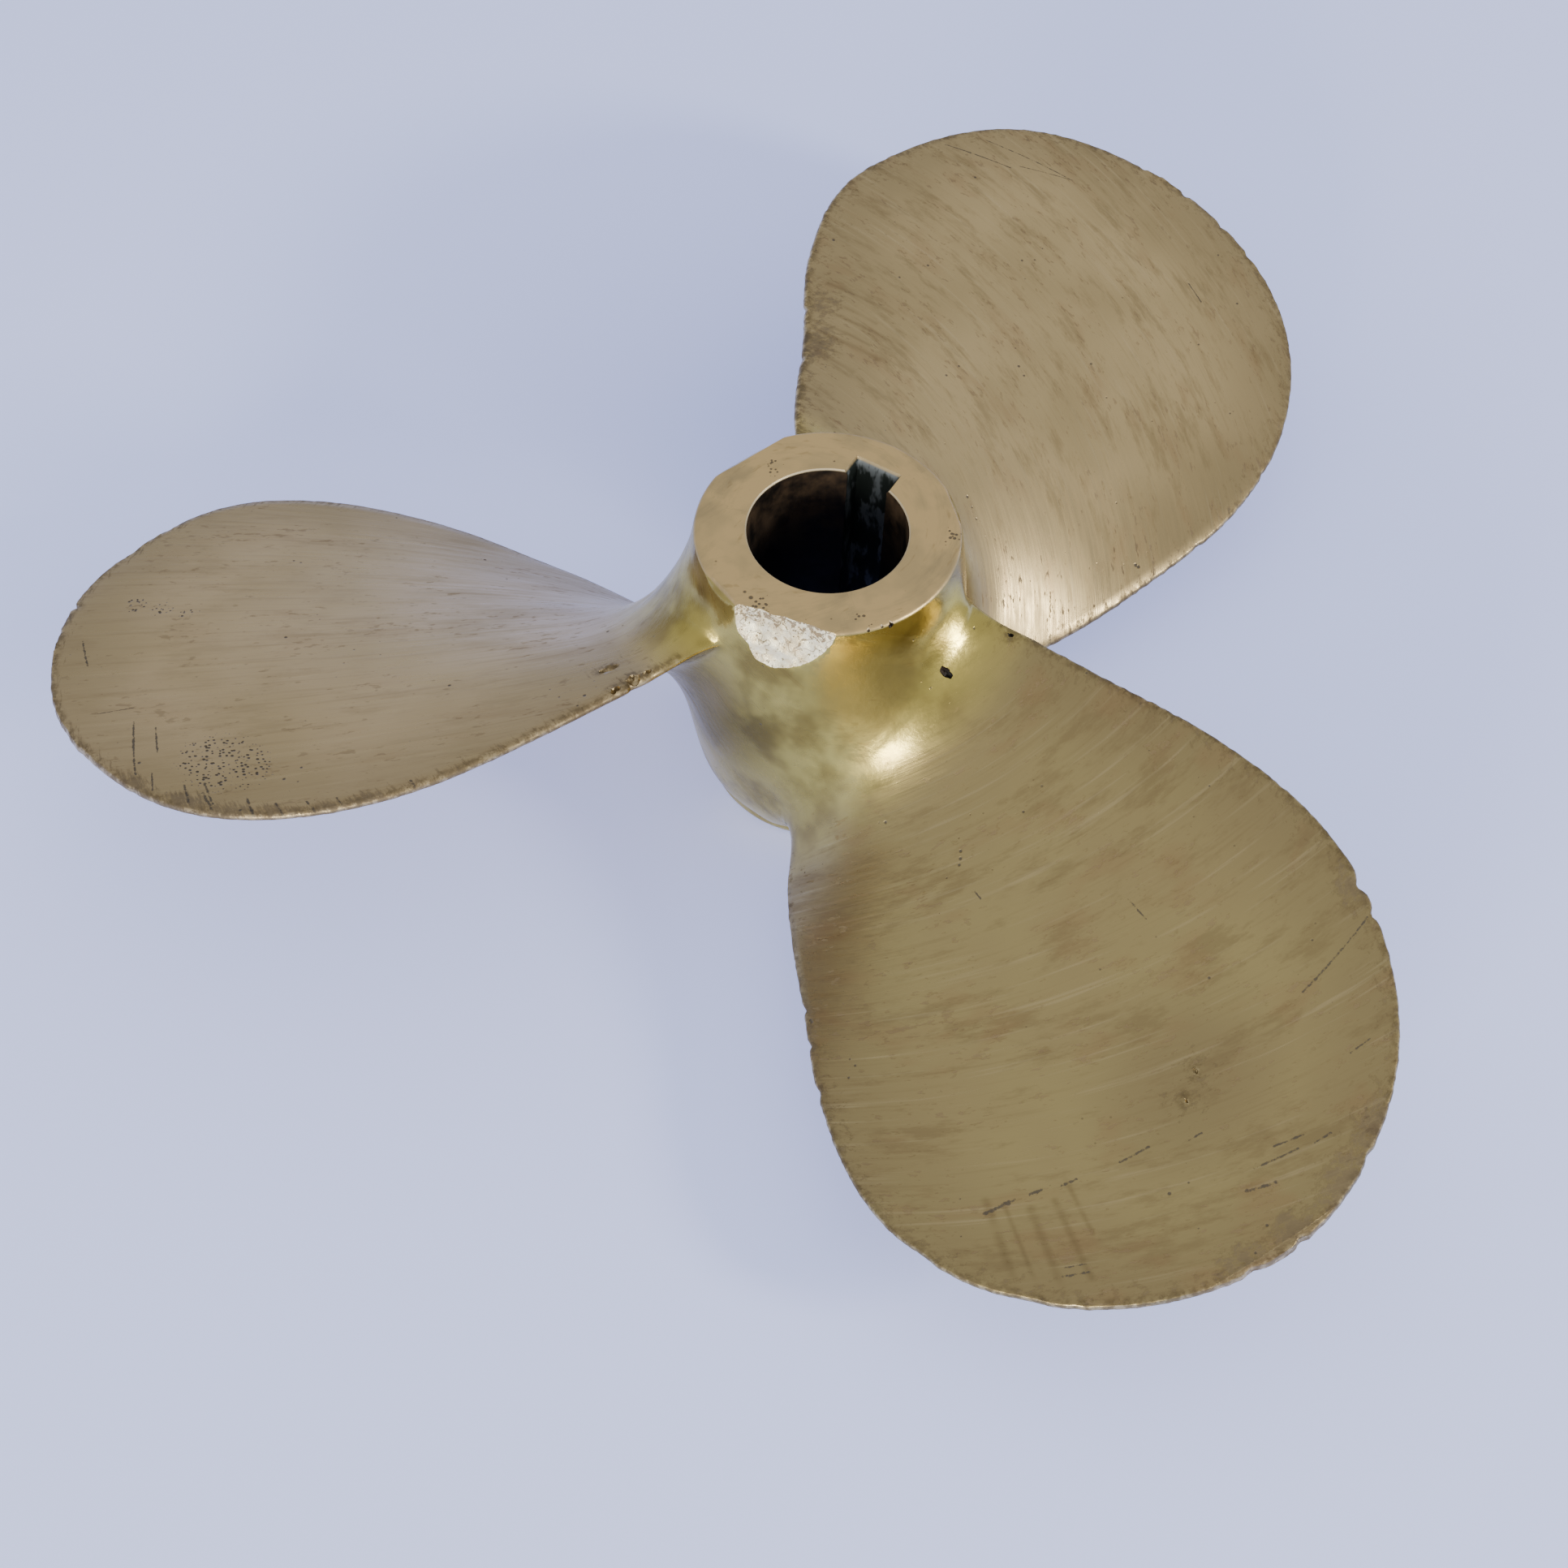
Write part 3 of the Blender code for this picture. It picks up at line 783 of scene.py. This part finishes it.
class Graph:
    """Adds shader nodes to a material; each method returns the new node's output."""

    def __init__(self, name):
        self.material = bpy.data.materials.new(name)
        self.material.use_nodes = True
        self.tree = self.material.node_tree
        self.shader = self.tree.nodes["Principled BSDF"]

    def put(self, socket, value):
        if isinstance(value, bpy.types.NodeSocket):
            self.tree.links.new(value, socket)
        else:
            socket.default_value = value

    def attribute(self, name, output="Fac"):
        node = self.tree.nodes.new("ShaderNodeAttribute")
        node.attribute_name = name
        return node.outputs[output]

    def place(self):
        return self.tree.nodes.new("ShaderNodeTexCoord").outputs["Object"]

    def parts(self, vector):
        node = self.tree.nodes.new("ShaderNodeSeparateXYZ")
        self.put(node.inputs[0], vector)
        return node.outputs

    def vector(self, operation, a, b=(0.0, 0.0, 0.0), output="Vector"):
        node = self.tree.nodes.new("ShaderNodeVectorMath")
        node.operation = operation
        self.put(node.inputs[0], a)
        if operation == "SCALE":
            self.put(node.inputs["Scale"], b)
        else:
            self.put(node.inputs[1], b)
        return node.outputs[output]

    def math(self, operation, a, b=0.0, c=0.0, clamp=False):
        node = self.tree.nodes.new("ShaderNodeMath")
        node.operation = operation
        node.use_clamp = clamp
        for socket, value in zip(node.inputs, (a, b, c)):
            self.put(socket, value)
        return node.outputs[0]

    def span(self, value, start, end, low=0.0, high=1.0):
        """Runs smoothly from low to high while the value goes from start to end."""
        node = self.tree.nodes.new("ShaderNodeMapRange")
        node.interpolation_type = "SMOOTHSTEP"
        self.put(node.inputs["Value"], value)
        for socket, number in zip(node.inputs[1:5], (start, end, low, high)):
            self.put(socket, number)
        return node.outputs["Result"]

    def noise(self, vector, scale, detail=2.0, roughness=0.5):
        node = self.tree.nodes.new("ShaderNodeTexNoise")
        self.put(node.inputs["Vector"], vector)
        node.inputs["Scale"].default_value = scale
        node.inputs["Detail"].default_value = detail
        node.inputs["Roughness"].default_value = roughness
        return node.outputs["Fac"]

    def cells(self, vector, scale, dimensions="3D"):
        node = self.tree.nodes.new("ShaderNodeTexVoronoi")
        node.voronoi_dimensions = dimensions
        self.put(node.inputs["Vector"], vector)
        node.inputs["Scale"].default_value = scale
        return node.outputs["Distance"]

    def mix(self, factor, a, b, blend="MIX"):
        node = self.tree.nodes.new("ShaderNodeMix")
        node.data_type = "RGBA"
        node.blend_type = blend
        self.put(node.inputs["Factor"], factor)
        self.put(node.inputs[6], a)
        self.put(node.inputs[7], b)
        return node.outputs[2]

    def bump(self, height, distance):
        node = self.tree.nodes.new("ShaderNodeBump")
        node.inputs["Distance"].default_value = distance
        self.put(node.inputs["Height"], height)
        return node.outputs["Normal"]

    def any_of(self, masks):
        """Largest of several masks, which may come from a generator."""
        total = None
        for mask in masks:
            total = mask if total is None else self.math("MAXIMUM", total, mask)
        return total

    def finish(self, colour, roughness, normal, metallic=1.0):
        self.put(self.shader.inputs["Base Color"], colour)
        self.put(self.shader.inputs["Roughness"], roughness)
        self.put(self.shader.inputs["Metallic"], metallic)
        if normal is not None:
            self.put(self.shader.inputs["Normal"], normal)
        return self.material


def streak(graph, chart, mark, core=0.1):
    """Mask of one straight mark: its ends on the blade's chart and its half width, all in mm.

    The share core of the half width is marked in full, and the rest fades out.
    """
    blade_number, start_r, start_a, end_r, end_a, half_width = mark
    start = Vector((start_r * MM, start_a * MM, blade_number))
    run = Vector((end_r * MM, end_a * MM, blade_number)) - start
    from_start = graph.vector("SUBTRACT", chart, start)
    share = graph.vector("DOT_PRODUCT", from_start, run / run.length_squared, output="Value")
    nearest = graph.vector("SCALE", tuple(run), graph.math("ADD", share, 0.0, clamp=True))
    gap = graph.vector("DISTANCE", from_start, nearest, output="Value")
    return graph.span(gap, core * half_width * MM, 1.15 * half_width * MM, 1.0, 0.0)


def spot(graph, chart, mark):
    """Mask of one soft round patch: blade, place on its chart and radius, in mm."""
    blade_number, r, a, radius = mark
    gap = graph.vector("DISTANCE", chart, (r * MM, a * MM, blade_number), output="Value")
    return graph.span(gap, 0.0, radius * MM, 1.0, 0.0)


def marks_of(marks, own_blade):
    return [mark for mark in marks if mark[0] == own_blade]


def satin_bronze(name, own_blade):
    """Hand-dressed bronze: brushed streaks, brown specks, scratches, pits and grimy edges.

    The marks of one blade are added if own_blade says which; the rest is the same everywhere.
    """
    g = Graph(name)
    chart = g.attribute("chart", "Vector")
    brush = g.attribute("brush", "Vector")
    place = g.place()
    hub = g.attribute("hub_share")
    gap = g.attribute("edge_gap")
    forward = g.span(g.attribute("facing"), 0.1, 0.5)
    height = g.parts(place)[2]
    top_face = g.span(height, HUB_FORWARD_Z - 0.0009, HUB_FORWARD_Z - 0.0004)

    # Base colour of each blade and of the hub, with slow clouds; the blades' colours differ partly as painted
    # light and shade
    blade_number = g.parts(chart)[2]
    colour = g.mix(g.span(blade_number, 0.2, 0.8), BLADE_COLOURS_AND_SHADE[0], BLADE_COLOURS_AND_SHADE[1])
    colour = g.mix(g.span(blade_number, 1.2, 1.8), colour, BLADE_COLOURS_AND_SHADE[2])
    cloud = g.noise(place, 26.0, 2.0, 0.55)
    colour = g.mix(g.span(cloud, 0.35, 0.70, 0.0, 0.50), colour, CLOUD_COLOUR)
    hub_patch = g.noise(place, 55.0, 3.0, 0.6)
    hub_colour = g.mix(g.span(hub_patch, 0.40, 0.66), HUB_OLIVE, HUB_DARK)
    grey_gap = g.vector("DISTANCE", place, HUB_GREY_PLACE, output="Value")
    painted_shade_gap = g.vector("DISTANCE", place, HUB_PAINTED_SHADE_PLACE, output="Value")
    # Painted shade: the hub's side darkened round one place
    hub_colour = g.mix(g.span(painted_shade_gap, 0.008, 0.030, 0.90, 0.0), hub_colour, HUB_PAINTED_SHADE)
    grey = g.math("MULTIPLY", g.span(grey_gap, 0.001, 0.015, 0.60, 0.0),
                  g.span(hub_patch, 0.40, 0.56, 0.15, 1.0))
    hub_colour = g.mix(grey, hub_colour, HUB_GREY)
    # Painted golden shade right of the broken rim; the same mask makes it rougher there
    gold_shade_gap = g.vector("DISTANCE", place, HUB_GOLD_SHADE_PLACE, output="Value")
    gold_shade = g.span(gold_shade_gap, 0.006, 0.020, 0.85, 0.0)
    hub_colour = g.mix(gold_shade, hub_colour, HUB_GOLD_SHADE)
    hub_mask = g.math("MULTIPLY", hub, g.span(cloud, 0.2, 0.5, 0.7, 1.0))
    colour = g.mix(hub_mask, colour, hub_colour)
    patina = g.span(gap, 0.0, 0.034, 0.50, 0.0)
    colour = g.mix(g.math("MULTIPLY", patina, g.span(hub, 0.0, 0.4, 1.0, 0.0)), colour, PATINA_COLOUR)

    # Brushing: broad smears, streaks and fine lines, all drawn out along the brushing
    brushed = g.span(hub, 0.15, 0.90, 1.0, 0.0)
    tarnish = g.span(g.math("ABSOLUTE", g.math("SUBTRACT", blade_number, 1.0)), 0.0, 1.0, 0.40, 1.0)
    smear = g.noise(g.vector("MULTIPLY", brush, (42.0, 150.0, 10.0)), 1.0, 5.0, 0.74)
    streaks = g.noise(g.vector("MULTIPLY", brush, (26.0, 760.0, 10.0)), 1.0, 2.0, 0.6)
    streaks = g.mix(brushed, (0.5, 0.5, 0.5, 1.0), streaks)
    lines = g.noise(g.vector("MULTIPLY", brush, (90.0, 2600.0, 10.0)), 1.0, 1.0, 0.6)
    lines = g.math("MULTIPLY", lines, brushed)
    tarnish = g.math("MULTIPLY", tarnish, brushed)
    dulled = g.math("MULTIPLY", g.span(smear, 0.48, 0.66, 0.0, 0.46), tarnish)
    colour = g.mix(dulled, colour, SMEAR_COLOUR)
    red = g.noise(g.vector("MULTIPLY", brush, (50.0, 100.0, 10.0)), 1.0, 2.0, 0.65)
    reddened = g.math("MULTIPLY", g.span(red, 0.52, 0.72, 0.0, 0.26), tarnish)
    colour = g.mix(reddened, colour, REDDISH_COLOUR)
    colour = g.mix(g.span(streaks, 0.55, 0.78, 0.0, 0.24), colour, SMEAR_COLOUR)
    lightened = g.math("MULTIPLY", g.span(streaks, 0.44, 0.24, 0.0, 0.20), tarnish)
    colour = g.mix(lightened, colour, BRIGHT_COLOUR)
    face_patch = g.span(hub_patch, 0.40, 0.62, 0.0, 0.7)
    face_patch = g.math("ADD", face_patch, g.span(smear, 0.45, 0.65, -0.15, 0.35), clamp=True)
    face_colour = g.mix(face_patch, FACE_COLOUR, FACE_PATCH_COLOUR)
    colour = g.mix(top_face, colour, face_colour)

    # Brown specks and small pits, also drawn out a little
    speck = g.noise(g.vector("MULTIPLY", brush, (260.0, 620.0, 40.0)), 1.0, 2.0, 0.7)
    rarity = g.span(red, 0.35, 0.62, 0.71, 0.575)
    specks = g.math("MULTIPLY", g.math("SUBTRACT", speck, rarity), 12.0, clamp=True)
    specks = g.math("MULTIPLY", specks, g.span(tarnish, 0.0, 1.0, 0.35, 1.0))
    colour = g.mix(g.math("MULTIPLY", specks, 0.58), colour, SPECK_COLOUR)
    pit_rarity = g.span(g.noise(place, 90.0, 1.0), 0.52, 0.74, 0.0, 0.19)
    face_gap = g.any_of(g.span(g.vector("DISTANCE", place, (x, y, HUB_FORWARD_Z), output="Value"),
                               0.0005, 0.0045, 0.36, 0.0) for x, y in FACE_CLUSTERS)
    pit_rarity = g.math("MULTIPLY_ADD", top_face, 0.04, pit_rarity)
    pits = g.math("MULTIPLY", g.math("SUBTRACT", pit_rarity, g.cells(place, 330.0)), 12.0, clamp=True)
    face_pits = g.math("SUBTRACT", g.math("MULTIPLY_ADD", top_face, 0.07, face_gap), g.cells(place, 820.0))
    face_pits = g.math("MULTIPLY", g.math("MULTIPLY", face_pits, 9.0, clamp=True), top_face)
    pits = g.any_of([pits, face_pits])

    # Marks that the photograph shows one by one, on the forward faces only
    worn_away = g.any_of([specks, pits])
    stains = marks_of(STAINS, own_blade)
    if stains:
        stain = g.any_of(spot(g, chart, mark) for mark in stains)
        across_edge, reach = ((900.0, 170.0, 1.0), 0.009) if own_blade == 1 else ((500.0, 330.0, 1.0), 0.015)
        stain_break = g.noise(g.vector("MULTIPLY", chart, across_edge), 1.0, 4.0, 0.75)
        stain = g.math("MULTIPLY_ADD", stain, 0.22, stain_break)
        stain = g.math("SUBTRACT", stain, g.span(gap, 0.0, reach, 0.49, 0.78))
        stain = g.math("MULTIPLY", g.math("MULTIPLY", stain, 6.0, clamp=True), forward)
        colour = g.mix(g.math("MULTIPLY", stain, 0.66), colour, STAIN_COLOUR)
        worn_away = g.any_of([worn_away, stain])
    soft_marks = marks_of(SOFT_MARKS, own_blade)
    if soft_marks:
        smudged = g.any_of(streak(g, chart, mark, 0.0) for mark in soft_marks)
        smudged = g.math("MULTIPLY", g.math("MULTIPLY", smudged, g.span(red, 0.30, 0.55)), forward)
        colour = g.mix(g.math("MULTIPLY", smudged, 0.27), colour, SPECK_COLOUR)
    dark_marks = marks_of(DARK_MARKS, own_blade)
    if dark_marks:
        raggedness = g.noise(place, 650.0, 3.0, 0.75)
        marks = g.any_of(streak(g, chart, mark) for mark in dark_marks)
        marks = g.math("SUBTRACT", g.math("MULTIPLY_ADD", marks, 0.34, raggedness), 0.695)
        marks = g.math("MULTIPLY", g.math("MULTIPLY", marks, 7.0, clamp=True), forward)
        colour = g.mix(g.math("MULTIPLY", marks, 0.85), colour, PIT_COLOUR)
        worn_away = g.any_of([worn_away, marks])
    clusters = marks_of(PIT_CLUSTERS, own_blade)
    if clusters:
        cluster = g.any_of(spot(g, chart, mark) for mark in clusters)
        dot_size = g.span(g.noise(place, 500.0, 1.0), 0.35, 0.60, 0.10, 0.34)
        dot_size = g.math("MULTIPLY", g.span(cluster, 0.02, 0.60), dot_size)
        dots = g.math("SUBTRACT", dot_size, g.cells(chart, 720.0, "2D"))
        dots = g.math("MULTIPLY", g.math("MULTIPLY", dots, 9.0, clamp=True), forward)
        pits = g.any_of([pits, dots])
    colour = g.mix(g.math("MULTIPLY", pits, 0.85), colour, PIT_COLOUR)

    # Edges: a bare rim, and patchy grime just inside it
    grime_noise = g.noise(place, 420.0, 3.0, 0.70)
    grime = g.math("MULTIPLY", g.span(gap, 0.0003, 0.0028, 1.0, 0.0), g.span(grime_noise, 0.40, 0.62))
    colour = g.mix(g.math("MULTIPLY", grime, 0.62), colour, STAIN_COLOUR)
    bare = g.math("MULTIPLY", g.span(gap, 0.0002, 0.0008, 1.0, 0.0), g.span(grime_noise, 0.50, 0.38))
    colour = g.mix(g.math("MULTIPLY", bare, 0.25), colour, BRIGHT_COLOUR)

    rough = g.span(smear, 0.30, 0.70, 0.28, 0.40)
    rough = g.math("ADD", rough, g.span(streaks, 0.30, 0.70, -0.04, 0.06))
    rough = g.math("MULTIPLY_ADD", top_face, 0.15, rough)
    rough = g.math("MULTIPLY_ADD", hub, -0.08, rough)
    rough = g.math("MULTIPLY_ADD", gold_shade, 0.28, rough)
    worn_away = g.any_of([worn_away, g.math("MULTIPLY", grime, 0.6)])
    rough = g.math("MULTIPLY_ADD", worn_away, 0.28, rough)

    relief = g.math("MULTIPLY_ADD", lines, 0.26, g.math("MULTIPLY", streaks, 0.34))
    relief = g.math("MULTIPLY_ADD", pits, -0.9, relief)
    relief = g.math("MULTIPLY_ADD", specks, -0.12, relief)
    grain = g.math("MULTIPLY", g.noise(place, 520.0, 2.0, 0.6), hub)
    relief = g.math("MULTIPLY_ADD", grain, 0.7, relief)
    metallic = g.span(worn_away, 0.3, 1.0, 1.0, 0.35)
    return g.finish(colour, rough, g.bump(relief, 0.0001), metallic)


def broken_bronze_and_highlight():
    """The crystalline metal of the broken rim, bright with brown pits towards the face; its near-white colour
    and low metallic are partly painted highlight.
    """
    g = Graph("broken_bronze_and_highlight")
    place = g.place()
    grain = g.noise(place, 700.0, 4.0, 0.7)
    cracks = g.noise(place, 240.0, 3.0, 0.7)
    height = g.parts(place)[2]
    near_face = g.span(height, 0.0385, 0.0440)
    pit = g.math("ADD", g.noise(place, 900.0, 2.0, 0.7), g.math("MULTIPLY", near_face, 0.12))
    pits = g.span(pit, 0.61, 0.72)
    # Near white: partly the bright broken metal, partly painted highlight
    colour = g.mix(g.span(cracks, 0.35, 0.65), (1.00, 0.93, 0.64, 1.0), (0.82, 0.67, 0.38, 1.0))
    colour = g.mix(g.math("MULTIPLY", pits, 0.85), colour, (0.24, 0.15, 0.06, 1.0))
    crack = g.math("ABSOLUTE", g.math("SUBTRACT", g.noise(place, 130.0, 2.0, 0.6), 0.5))
    cracks_dark = g.span(crack, 0.002, 0.014, 0.75, 0.0)
    colour = g.mix(cracks_dark, colour, (0.30, 0.21, 0.10, 1.0))
    rough = g.span(grain, 0.3, 0.7, 0.26, 0.48)
    normal = g.bump(g.math("SUBTRACT", grain, pits), 0.00024)
    return g.finish(colour, rough, normal, 0.3)


def shaded_bore_metal():
    """The unworked bore: dark tarnish with painted shade, nearly black deep down and brown in patches towards
    the mouth.
    """
    g = Graph("shaded_bore_metal")
    place = g.place()
    height = g.parts(place)[2]
    patch = g.noise(place, 150.0, 3.0, 0.6)
    mouth = g.math("MULTIPLY", g.span(height, 0.015, HUB_FORWARD_Z), g.span(patch, 0.3, 0.7))
    # Nearly black deep down: dark tarnish and painted shade; brown patches towards the mouth
    colour = g.mix(mouth, (0.010, 0.008, 0.007, 1.0), (0.085, 0.052, 0.026, 1.0))
    lip = g.span(height, HUB_FORWARD_Z - 0.0007, HUB_FORWARD_Z - 0.0003)
    colour = g.mix(lip, colour, (0.60, 0.50, 0.32, 1.0))
    return g.finish(colour, g.span(patch, 0.3, 0.7, 0.45, 0.65), g.bump(patch, 0.0001), 0.6)


def keyway_metal_shade_and_glint():
    """The keyway's dark, oily, faintly green metal, with painted shade in the slot and bluish-grey patches of
    painted glint.
    """
    g = Graph("keyway_metal_shade_and_glint")
    place = g.place()
    patch = g.noise(g.vector("MULTIPLY", place, (260.0, 260.0, 90.0)), 1.0, 3.0, 0.6)
    # Nearly black with painted shade; the bluish-grey patches are a painted glint
    colour = g.mix(g.span(patch, 0.50, 0.60), (0.030, 0.038, 0.034, 1.0), (0.16, 0.18, 0.19, 1.0))
    lip = g.span(g.parts(place)[2], HUB_FORWARD_Z - 0.0009, HUB_FORWARD_Z - 0.0003)
    colour = g.mix(lip, colour, (0.40, 0.31, 0.17, 1.0))
    return g.finish(colour, g.span(patch, 0.4, 0.6, 0.28, 0.45), None, 0.7)


# The camera, from the photograph's perspective: where it stands and how it looks
CAMERA_PLACE = Vector((0.2759, -0.5012, 0.6999))
CAMERA_FACING_DEG = 119.733
CAMERA_DOWN_DEG = 52.977
CAMERA_ROLL_DEG = 1.571
CAMERA_SENSOR_MM = 36.0
CAMERA_LENS_MM = 81.424


def camera():
    data = bpy.data.cameras.new("photo_camera")
    data.sensor_width = CAMERA_SENSOR_MM
    data.lens = CAMERA_LENS_MM
    data.clip_start = 0.01
    body = bpy.data.objects.new("photo_camera", data)
    bpy.context.scene.collection.objects.link(body)
    facing = Matrix.Rotation(math.radians(CAMERA_FACING_DEG - 90.0), 4, "Z")
    down = Matrix.Rotation(math.radians(90.0 - CAMERA_DOWN_DEG), 4, "X")
    roll = Matrix.Rotation(math.radians(CAMERA_ROLL_DEG), 4, "Z")
    body.matrix_world = Matrix.Translation(CAMERA_PLACE) @ facing @ down @ roll
    bpy.context.scene.camera = body


def floor():
    bpy.ops.mesh.primitive_plane_add(size=6.0, location=(0.0, 0.0, HUB_AFT_Z))
    sheet = bpy.context.object
    sheet.name = "floor"
    material = bpy.data.materials.new("pale_floor")
    material.use_nodes = True
    shader = material.node_tree.nodes["Principled BSDF"]
    shader.inputs["Base Color"].default_value = (0.70, 0.77, 1.0, 1.0)
    shader.inputs["Roughness"].default_value = 0.9
    shader.inputs["Specular IOR Level"].default_value = 0.1
    shader.inputs["Emission Color"].default_value = (0.28, 0.35, 1.0, 1.0)
    shader.inputs["Emission Strength"].default_value = 0.60
    sheet.data.materials.append(material)


def soft_light(name, place, size, power, colour=(1.0, 1.0, 1.0)):
    data = bpy.data.lights.new(name, "AREA")
    data.shape = "DISK"
    data.size = size
    data.energy = power
    data.color = colour
    body = bpy.data.objects.new(name, data)
    bpy.context.scene.collection.objects.link(body)
    body.location = place
    body.rotation_euler = (-Vector(place)).to_track_quat("-Z", "Y").to_euler()


def direction(azimuth_deg, elevation_deg):
    azimuth = math.radians(azimuth_deg)
    elevation = math.radians(elevation_deg)
    level = math.cos(elevation)
    return Vector((level * math.cos(azimuth), level * math.sin(azimuth), math.sin(elevation)))


def lights():
    """A key light from the picture's right, a low one beside the camera, and an even sky."""
    soft_light("key_light", 1.6 * direction(8.0, 23.0), 0.26, 14.0, (1.0, 0.97, 0.92))
    soft_light("low_light", 1.6 * direction(281.0, 14.0), 0.46, 20.0, (1.0, 0.96, 0.88))
    world = bpy.data.worlds.new("studio")
    world.use_nodes = True
    tree = world.node_tree
    coordinates = tree.nodes.new("ShaderNodeTexCoord")
    parts = tree.nodes.new("ShaderNodeSeparateXYZ")
    ramp = tree.nodes.new("ShaderNodeValToRGB")
    tree.links.new(coordinates.outputs["Generated"], parts.inputs[0])
    tree.links.new(parts.outputs["Z"], ramp.inputs["Fac"])
    ramp.color_ramp.elements[0].color = (0.88, 0.91, 0.98, 1.0)
    ramp.color_ramp.elements[1].color = (0.93, 0.93, 0.95, 1.0)
    background = tree.nodes["Background"]
    tree.links.new(ramp.outputs["Color"], background.inputs["Color"])
    background.inputs["Strength"].default_value = 0.79
    bpy.context.scene.world = world


def main():
    casting = propeller()
    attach(casting, "root")
    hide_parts(CASTING)
    floor()
    lights()
    camera()


main()
